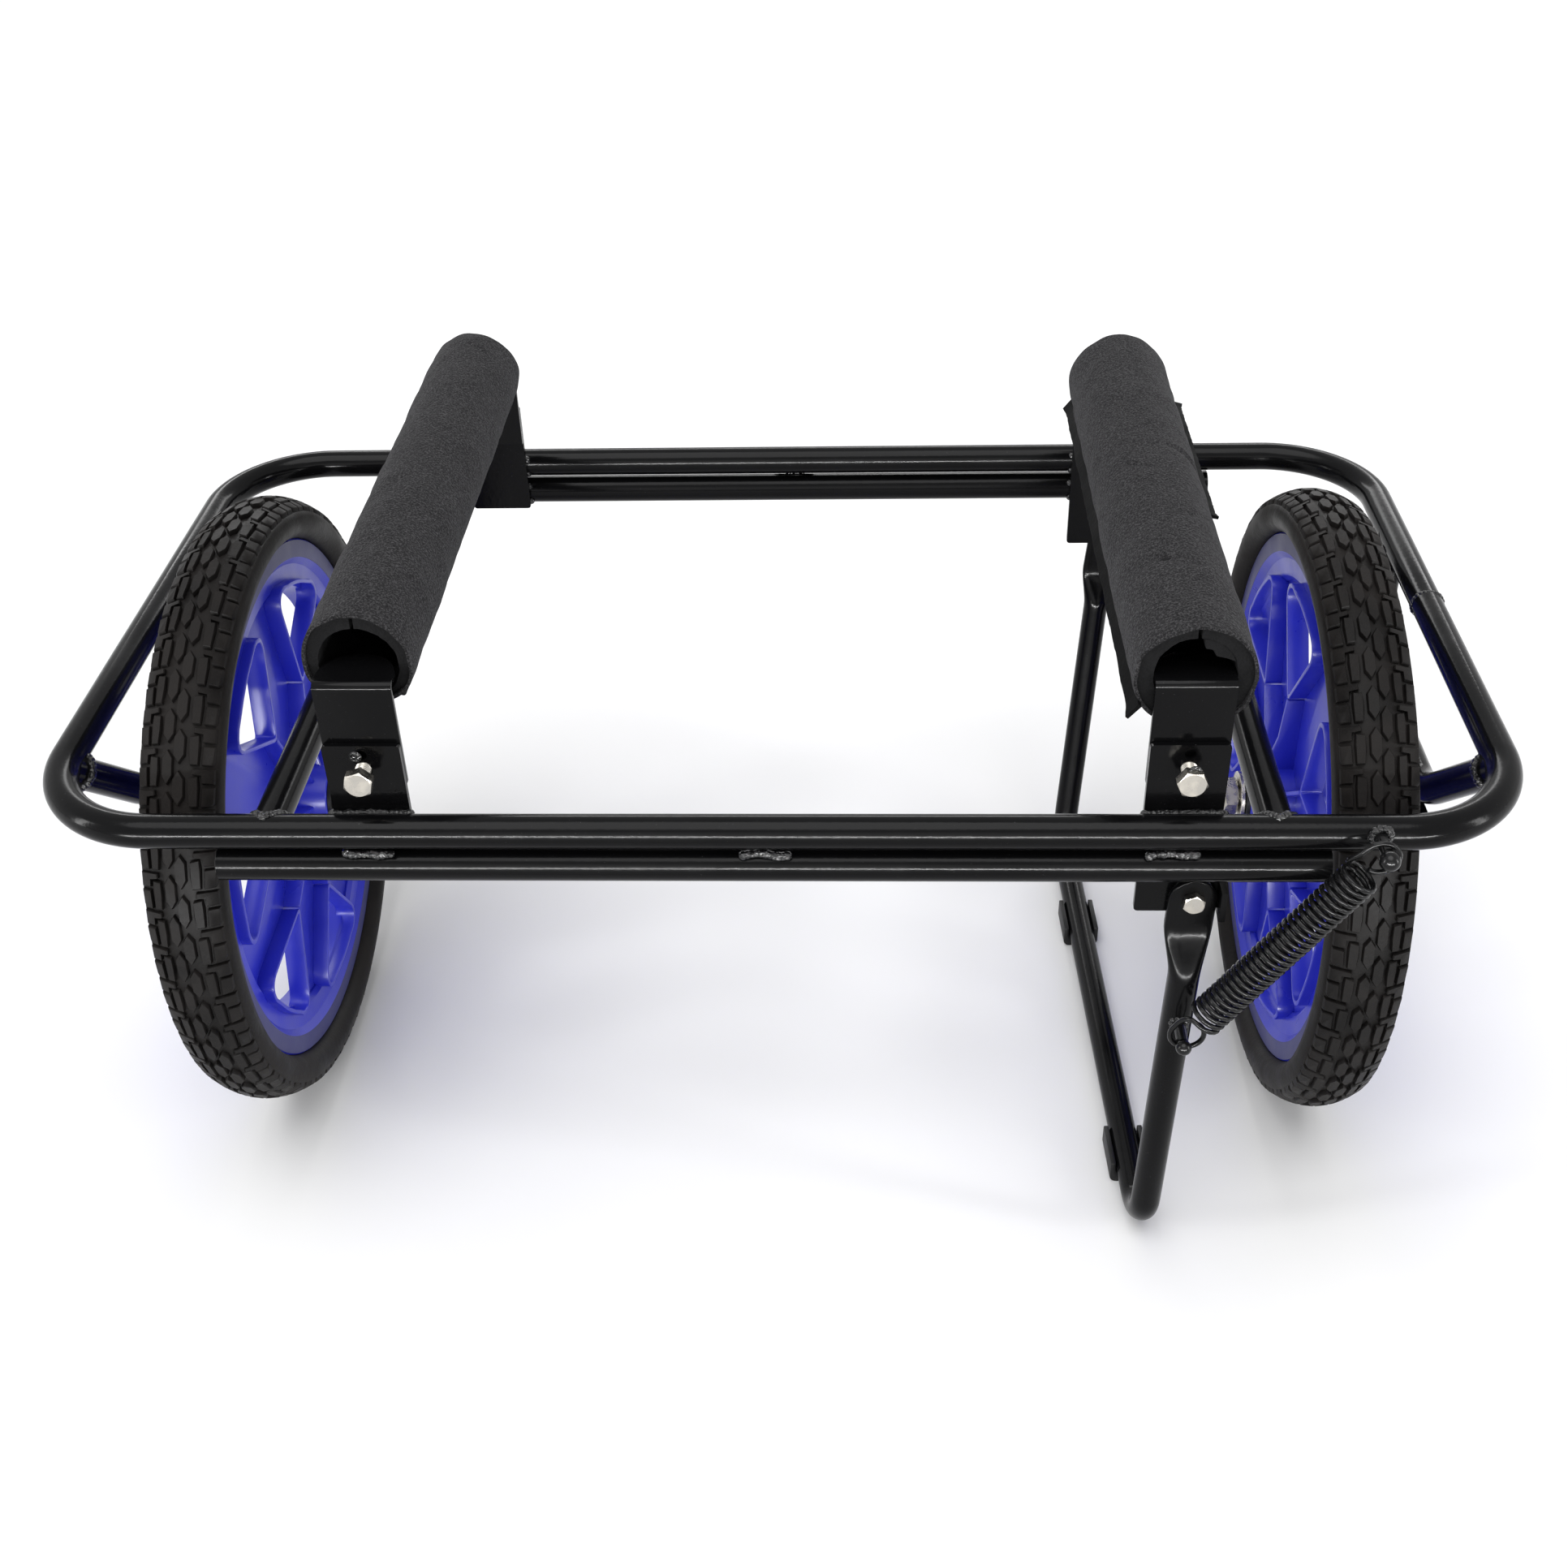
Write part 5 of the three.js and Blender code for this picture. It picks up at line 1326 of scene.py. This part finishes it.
def makeFoamRoll(side):
    # a foam tube slit along its top, its cut ends a little rough
    pad = padSizes[side]
    x = middleOf(f"{side}_foam_roll").x
    low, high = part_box(f"{side}_foam_roll")
    outer = (high.x - low.x) / 2 - foamSize["inset"]
    boreWide, boreTall = foamSize["boreWide"], foamSize["boreTall"]
    middle = railHeight + pad["height"]
    stations = foamSize["stations"]
    sections = []
    for i in range(stations + 1):
        y = low.y + (middleY + pad["rear"] - foamSize["setBack"] - low.y) * i / stations
        rough = foamSize["rough"] if i in (0, stations) else 0.0
        section = []
        for turn in slitTurns(math.asin(foamSize["slit"] / outer)):
            wear = noise.noise(Vector((turn * 3, y * 40, pad["seed"]))) * 0.0005
            section.append(Vector((
                x + (outer + wear) * math.cos(turn),
                y + noise.noise(Vector((turn * 5, y, 1))) * rough,
                middle + (outer + wear) * math.sin(turn),
            )))
        for turn in reversed(slitTurns(math.asin(foamSize["slit"] / boreWide))):
            wear = noise.noise(Vector((turn * 4, y * 30, pad["seed"] + 5))) * 0.0004
            section.append(Vector((
                x + (boreWide - wear) * math.cos(turn),
                y + noise.noise(Vector((turn * 7, y, 4))) * rough,
                boreMiddle + (boreTall - abs(wear)) * math.sin(turn),
            )))
        sections.append(section)
    vertices, faces = loft(sections, caps=False)
    count = len(sections[0])
    for base in (0, stations * count):
        for k in range(count // 2 - 1):
            quad = (base + k, base + k + 1, base + count - 2 - k, base + count - 1 - k)
            faces.append(tuple(reversed(quad)) if base else quad)
    return recalculateNormals(newObject(f"{side}Foam", vertices, faces, padFoam, 50))


flapSizes = (
    {"turn": 204, "lean": 0.9, "width": 0.0078, "front": -0.1865, "rear": 0.149, "seed": 2.0},
    {"turn": 13, "lean": -0.9, "width": 0.0044, "front": -0.035, "rear": 0.104, "seed": 6.0},
)
flapShape = {"steps": 90, "sink": 0.0022, "thick": 0.0008, "fray": 0.0004, "curl": 0.0011}


def makeFlap(size):
    # the cover's overlapping edge stands off the roll, uneven and frayed at its corners
    pad = padSizes["right"]
    x = middleOf("right_pad_cover").x
    turn = math.radians(size["turn"])
    ray = Vector((math.cos(turn), 0, math.sin(turn)))
    along = Vector((-math.sin(turn), 0, math.cos(turn)))
    sections = []
    for i in range(flapShape["steps"] + 1):
        share = i / flapShape["steps"]
        y = size["front"] + (size["rear"] - size["front"]) * share
        wave = noise.noise(Vector((share * 16, size["seed"], 0)))
        fray = noise.noise(Vector((share * 75, size["seed"], 3)))
        corner = max(0.0, 1 - min(share, 1 - share) * 30)
        lean = abs(size["lean"]) + wave * 0.05 + corner * 0.1
        heading = (ray * lean + along * math.copysign(1, size["lean"]) * (1 - lean * 0.5)).normalized()
        reach = size["width"] * (1 + wave * 0.07) + fray * flapShape["fray"] + corner * flapShape["curl"]
        foot = framePoint(x, y, pad["height"]) + ray * (pad["radius"] - flapShape["sink"])
        tip = foot + heading * reach
        across = heading.cross(rearward) * (flapShape["thick"] + corner * 0.0003)
        sections.append([foot + across, tip + across * 0.8, tip - across * 0.8, foot - across])
    vertices, faces = loft(sections)
    return recalculateNormals(newObject("rightFlap", vertices, faces, padBinding, 50))


# The torn tongue's outline, as (degrees, distance from the bore's middle)
tornOutline = (
    (84, 0.0198), (60, 0.0203), (36, 0.0203), (18, 0.0196),
    (30, 0.0162), (47, 0.0128), (62, 0.0146), (76, 0.0139),
)


def makeTornFoam():
    # a torn tongue of foam that hangs into the right roll's bore beside the slit
    x = middleOf("right_foam_roll").x
    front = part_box("right_foam_roll")[0].y
    outline = [
        Vector((x + reach * math.cos(turn), 0, boreMiddle + reach * math.sin(turn)))
        for turn, reach in ((math.radians(degrees), reach) for degrees, reach in tornOutline)
    ]
    torn = prism("tornFoam", outline, rearward * (front + 0.0006), rearward * (front + 0.009), padFoam)
    return bevel(torn, 0.0007, 30)


for side in cartSides:
    pieces = [makeCover(side), makeSeam(side)]
    if side == "right":
        pieces += [makeFlap(size) for size in flapSizes]
    cover = joinObjects(f"{side}PadCover", pieces)
    place(cover, f"{side}_bunk", "pad_fabric", f"{side}_pad_cover")
    foam = [makeFoamRoll(side)]
    if side == "right":
        foam.append(makeTornFoam())
    roll = place(joinObjects(f"{side}FoamRoll", foam), f"{side}_bunk", "pad_foam", f"{side}_foam_roll")
print("scene: bunks made")

# Kickstand

standSize = {
    "pivotX": 0.210, "pivotZ": -0.046, "radius": 0.008, "flatHalf": 0.012, "flatThin": 0.0025,
    "frontFlat": 0.016, "rearFlat": 0.032, "taper": 0.028, "frontY": -0.201, "bottom": -0.276,
    "crease": 0.0016, "square": 0.35,
}
standCorners = {"front": (0.203, -0.203, 0.022), "rear": (0.1885, 0.143, 0.035)}
footSize = {"inner": 0.0083, "outer": 0.0113, "rise": 0.004, "rounding": 0.004, "half": 0.015}


def squareSection(middle, heading, halfWide, halfThick, squareness, dent=0.0, outward=1):
    across = (rightward - heading * rightward.dot(heading)).normalized()
    through = heading.cross(across)
    points = []
    for i in range(32):
        turn = 2 * math.pi * i / 32
        c, s = math.cos(turn), math.sin(turn)
        u = halfWide * math.copysign(abs(c) ** squareness, c)
        v = halfThick * math.copysign(abs(s) ** squareness, s)
        if dent and v * outward > 0:
            v -= outward * dent * max(0.0, 1 - abs(u) / (halfWide * 0.55))
        points.append(middle + across * u + through * v)
    return points


def legAt(corner, side, z):
    # where a leg's middle line stands at this height
    size = standSize
    share = (z - size["pivotZ"]) / (size["bottom"] - size["pivotZ"])
    startY = side * -size["frontY"]
    return size["pivotX"] + (corner[0] - size["pivotX"]) * share, startY + (corner[1] - startY) * share


def legTop(corner, side, flat):
    # sections from the rounded tip to the round tube, with a crease where the tube is pinched flat
    size = standSize
    radius, half, thin, square = (size[name] for name in ("radius", "flatHalf", "flatThin", "square"))
    flatY = side * (plateFace + seat + thin)
    flatBottom = size["pivotZ"] - flat
    down = Vector((0, 0, -1))
    sections = []
    tip = [math.radians(degrees) for degrees in (8, 20, 34, 48, 62, 76, 90)]
    places = [(size["pivotZ"] + half * math.cos(turn), half * math.sin(turn)) for turn in tip]
    places += [(size["pivotZ"] - (flat - 0.003) * step / 2, half) for step in (1, 2)]
    for z, wide in places:
        x, _ = legAt(corner, side, z)
        sections.append(squareSection(framePoint(x, flatY, z), down, wide, thin, square))
    _, endY = legAt(corner, side, flatBottom - size["taper"])
    for step in range(9):
        t = step / 8
        ease = t * t * (3 - 2 * t)
        z = flatBottom - size["taper"] * t
        x, _ = legAt(corner, side, z)
        middle = framePoint(x, flatY + (endY - flatY) * ease, z)
        dent = size["crease"] * math.sin(math.pi * min(1.0, t * 1.25)) if t < 0.8 else 0.0
        wide, thick = half + (radius - half) * ease, thin + (radius - thin) * ease
        sections.append(squareSection(middle, down, wide, thick, square + (1 - square) * ease, dent, -side))
    return sections, middle


def makeBail():
    front, rear = standCorners["front"], standCorners["rear"]
    frontTop, frontEnd = legTop(front, -1, standSize["frontFlat"])
    rearTop, rearEnd = legTop(rear, 1, standSize["rearFlat"])
    stations = bentStations([
        (frontEnd, 0), (framePoint(front[0], front[1], standSize["bottom"]), front[2]),
        (framePoint(rear[0], rear[1], standSize["bottom"]), rear[2]), (rearEnd, 0),
    ], 16)
    radius = standSize["radius"]
    middle = [squareSection(point, heading, radius, radius, 1.0) for point, heading in stations[1:-1]]
    mirrored = [[section[0]] + section[:0:-1] for section in reversed(rearTop)]
    vertices, faces = loft(frontTop + middle + mirrored)
    return recalculateNormals(newObject("kickstandBail", vertices, faces, blackPaint, 40))


place(makeBail(), "kickstand", "black_paint", "kickstand_bail")


def makeFoot(node):
    # a clip whose sides hug the bar, with a flat sole
    front, rear = standCorners["front"], standCorners["rear"]
    heading = Vector((rear[0] - front[0], rear[1] - front[1], 0)).normalized()
    across = Vector((heading.y, -heading.x, 0))
    inner, outer, rise, rounding = (footSize[name] for name in ("inner", "outer", "rise", "rounding"))
    barHeight = railHeight + standSize["bottom"]
    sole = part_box(node)[0].z - barHeight
    outline = [(-outer, rise)]
    for centre, start in ((-outer + rounding, math.pi), (outer - rounding, 1.5 * math.pi)):
        for step in range(7):
            turn = start + math.pi / 2 * step / 6
            outline.append((centre + rounding * math.cos(turn), sole + rounding + rounding * math.sin(turn)))
    outline += [(outer, rise), (inner, rise)]
    for step in range(19):
        turn = -math.pi * step / 18
        outline.append((inner * math.cos(turn), inner * math.sin(turn)))
    outline.append((-inner, rise))
    points = [across * u + Vector((0, 0, v)) for u, v in outline]
    middle = middleOf(node)
    base = Vector((middle.x, middle.y, barHeight))
    half = heading * footSize["half"]
    return bevel(prism("foot", points, base - half, base + half, blackPlastic, 30), 0.0006, 40)


feet = joinObjects("standFeet", [makeFoot("front_foot"), makeFoot("rear_foot")])
shadeSmooth(feet.data, 35)
place(feet, "kickstand", "black_plastic", "front_foot", "rear_foot")

# Spring and its pins

springSize = {
    "coil": 0.00855, "wire": 0.00135, "turns": 31, "neck": 0.004, "pin": 0.003, "legPinDrop": 0.0706,
    "framePinHead": 0.005, "legPinHead": 0.004, "steps": 18, "easeSteps": 8, "off": 0.002,
    "headSweep": 0.86, "headFoot": 0.82,
}
legSlope = (standCorners["front"][0] - standSize["pivotX"]) / (standSize["bottom"] - standSize["pivotZ"])
springY = -(railY + tubeRadius + springSize["off"] + springSize["coil"] + springSize["wire"])
upperPin = Vector((framePin.x, middleY + springY, framePin.z))
lowerPin = framePoint(
    standSize["pivotX"] - springSize["legPinDrop"] * legSlope, springY,
    standSize["pivotZ"] - springSize["legPinDrop"])
springLength = (lowerPin - upperPin).length
springAlong = (lowerPin - upperPin).normalized()
springAcross = rearward.cross(springAlong).normalized()
loopCentre = springSize["coil"] - springSize["wire"] - springSize["pin"] - seat
coilStart = loopCentre + springSize["coil"] + springSize["neck"]
coilEnd = springLength - coilStart
firstPhase = math.pi / 4
lastPhase = firstPhase + springSize["turns"] * 2 * math.pi - math.pi / 2


def springPoint(along, across, out):
    return upperPin + springAlong * along + springAcross * across + rearward * out


def endLoop(centre, away):
    # round a pin, from the free tip to where the wire leaves for the coil
    coil = springSize["coil"]
    turns = [1.5 * math.pi * (1 - i / 28) for i in range(29)]
    return [springPoint(centre + away * coil * math.sin(turn), coil * math.cos(turn), 0) for turn in turns]


def coilPoint(share):
    phase = firstPhase + (lastPhase - firstPhase) * share
    return springPoint(
        coilStart + (coilEnd - coilStart) * share,
        springSize["coil"] * math.cos(phase), springSize["coil"] * math.sin(phase))


def easePoints(before, after):
    # a smooth joint from the end of one run of points to the start of the next
    steps = springSize["easeSteps"]
    start, end = before[-1], after[0]
    span = (end - start).length
    lead = start + (start - before[-2]).normalized() * span * 0.4
    trail = end - (after[1] - end).normalized() * span * 0.4
    points = []
    for i in range(1, steps):
        t = i / steps
        points.append(
            start * (1 - t) ** 3 + lead * 3 * t * (1 - t) ** 2 + trail * 3 * t * t * (1 - t) + end * t ** 3)
    return points


def makeSpring():
    upper = endLoop(loopCentre, -1)
    coilSteps = springSize["turns"] * springSize["steps"]
    coil = [coilPoint(i / coilSteps) for i in range(coilSteps + 1)]
    lower = endLoop(springLength - loopCentre, 1)[::-1]
    path = upper + easePoints(upper, coil) + coil + easePoints(coil, lower) + lower
    stations = []
    for i, point in enumerate(path):
        ahead, behind = path[min(i + 1, len(path) - 1)], path[max(i - 1, 0)]
        stations.append((point, (ahead - behind).normalized()))
    return tube("spring", stations, springSize["wire"], springPaint, 10)


spring = makeSpring()
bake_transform(spring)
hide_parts("kickstand_spring", "spring_lower_hook")


def makePin(name, node, headRadius, z, root):
    # a round pin with a ball on its front end
    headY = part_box(node)[0].y + headRadius
    radius = springSize["pin"]
    profile = [(0.0, -headRadius)]
    for step in range(1, 13):
        turn = math.pi * (0.5 - step / 12 * springSize["headSweep"])
        profile.append((max(headRadius * math.cos(turn), 0.0), -headRadius * math.sin(turn)))
    profile += [(radius, headRadius * springSize["headFoot"]), (radius, root - headY), (0.0, root - headY)]
    return turned(name, profile, Vector((middleOf(node).x, headY, z)), "y", springPaint, 40, 50)


pin = makePin("framePin", "spring_frame_pin", springSize["framePinHead"], framePin.z, middleY - railY)
place(pin, "frame", "black_paint", "spring_frame_pin")
legY = middleY + standSize["frontY"]
pin = makePin("legPin", "spring_leg_pin", springSize["legPinHead"], lowerPin.z, legY)
legBead = {"sink": 0.0004, "ring": 0.0039, "radius": 0.0016, "seed": 5}
legPinRoot = Vector((lowerPin.x, legY - standSize["radius"] + legBead["sink"], lowerPin.z))
bead = weldPaths(
    "legBead", [ringPath(legPinRoot, rearward, legBead["ring"])], legBead["radius"], legBead["seed"])
place(joinObjects("legPinSet", [pin, bead]), "kickstand", "black_paint", "spring_leg_pin")
print("scene: kickstand and spring made")

# Camera, floor and light

cameraSize = {
    "place": framePoint(0.04888, -0.90200, 0.54928),
    "pitch": math.radians(35.366), "yaw": math.radians(-3.167), "roll": math.radians(1.900),
    "focal": 2272.48, "frame": 1932, "centreY": 921.93, "sensor": 36, "near": 0.05, "far": 60,
}


def makeCamera():
    size = cameraSize
    pitch, yaw, roll = size["pitch"], size["yaw"], size["roll"]
    forward = Vector((math.sin(yaw) * math.cos(pitch), math.cos(yaw) * math.cos(pitch), -math.sin(pitch)))
    right = Vector((math.cos(yaw), -math.sin(yaw), 0))
    down = forward.cross(right)
    imageRight = right * math.cos(roll) + down * math.sin(roll)
    imageDown = down * math.cos(roll) - right * math.sin(roll)
    data = bpy.data.cameras.new("camera")
    data.sensor_width = size["sensor"]
    data.lens = size["focal"] / size["frame"] * size["sensor"]
    data.shift_y = (size["centreY"] - size["frame"] / 2) / size["frame"]
    data.clip_start, data.clip_end = size["near"], size["far"]
    camera = addObject("camera", data)
    columns = Matrix((imageRight, -imageDown, -forward)).transposed()
    camera.matrix_world = Matrix.Translation(size["place"]) @ columns.to_4x4()
    bpy.context.scene.camera = camera


makeCamera()
floorSize = {"half": 20, "mottle": 3}


def makeFloor():
    half = floorSize["half"]
    corners = [(-half, -half, 0), (half, -half, 0), (half, half, 0), (-half, half, 0)]
    material, tree, shader, coords = shaderTree("floorPaper", (0.86, 0.86, 0.865), 0.9, specular=0.1)
    tone = noiseNode(tree, coords, floorSize["mottle"], 4.0)
    paper = mixNode(tree, tone, (0.85, 0.85, 0.855), (0.88, 0.88, 0.885))
    tree.links.new(paper, shader.inputs["Base Color"])
    return newObject("floor", corners, [(0, 1, 2, 3)], material)


makeFloor()

lightAim = Vector((0, 0, 0.28))


def addLight(name, kind, heading, energy):
    data = bpy.data.lights.new(name, kind)
    data.energy = energy
    light = addObject(name, data)
    light.rotation_euler = heading.to_track_quat("-Z", "Y").to_euler()
    return light


def areaLight(name, spot, size, energy):
    light = addLight(name, "AREA", lightAim - Vector(spot), energy)
    light.location = spot
    light.data.shape = "RECTANGLE"
    light.data.size, light.data.size_y = size
    return light


sun = addLight("overheadDiffuser", "SUN", Vector((0.1, 0.25, -1)), 2.0)
sun.data.angle = math.radians(50)
# a line of highlights along the tubes, which lights nothing else
frontStrip = areaLight("frontStrip", (0, -3.2, 0.42), (5.0, 0.1), 300)
frontStrip.visible_diffuse = False
areaLight("frontFill", (0, -3.2, 1.2), (3.0, 1.6), 16)
areaLight("rearStrip", (0, 2.6, 1.5), (3.6, 0.35), 30)
areaLight("leftStrip", (-2.8, -0.9, 0.9), (0.35, 1.5), 26)
areaLight("rightStrip", (2.8, -0.9, 0.9), (0.35, 1.5), 26)

# White paper all round, dimmer where it only lights the cart
skyStrength = {"light": 0.38, "seen": 1.0}
world = bpy.data.worlds.new("studio")
bpy.context.scene.world = world
world.use_nodes = True
sky = world.node_tree
background = sky.nodes["Background"]
rays = sky.nodes.new("ShaderNodeLightPath")
seen, through = mathNode(sky, "MAXIMUM"), mathNode(sky, "MAXIMUM")
joinNodes(
    sky,
    (rays, "Is Camera Ray", seen, 0), (rays, "Is Glossy Ray", seen, 1),
    (seen, 0, through, 0), (rays, "Is Transmission Ray", through, 1),
)
background.inputs["Color"].default_value = (1, 1, 1, 1)
strength = rangeNode(sky, through.outputs[0], skyStrength["light"], skyStrength["seen"], 0, 1)
sky.links.new(strength, background.inputs["Strength"])
bpy.context.scene.view_settings.view_transform = "Standard"

print("scene: finished")
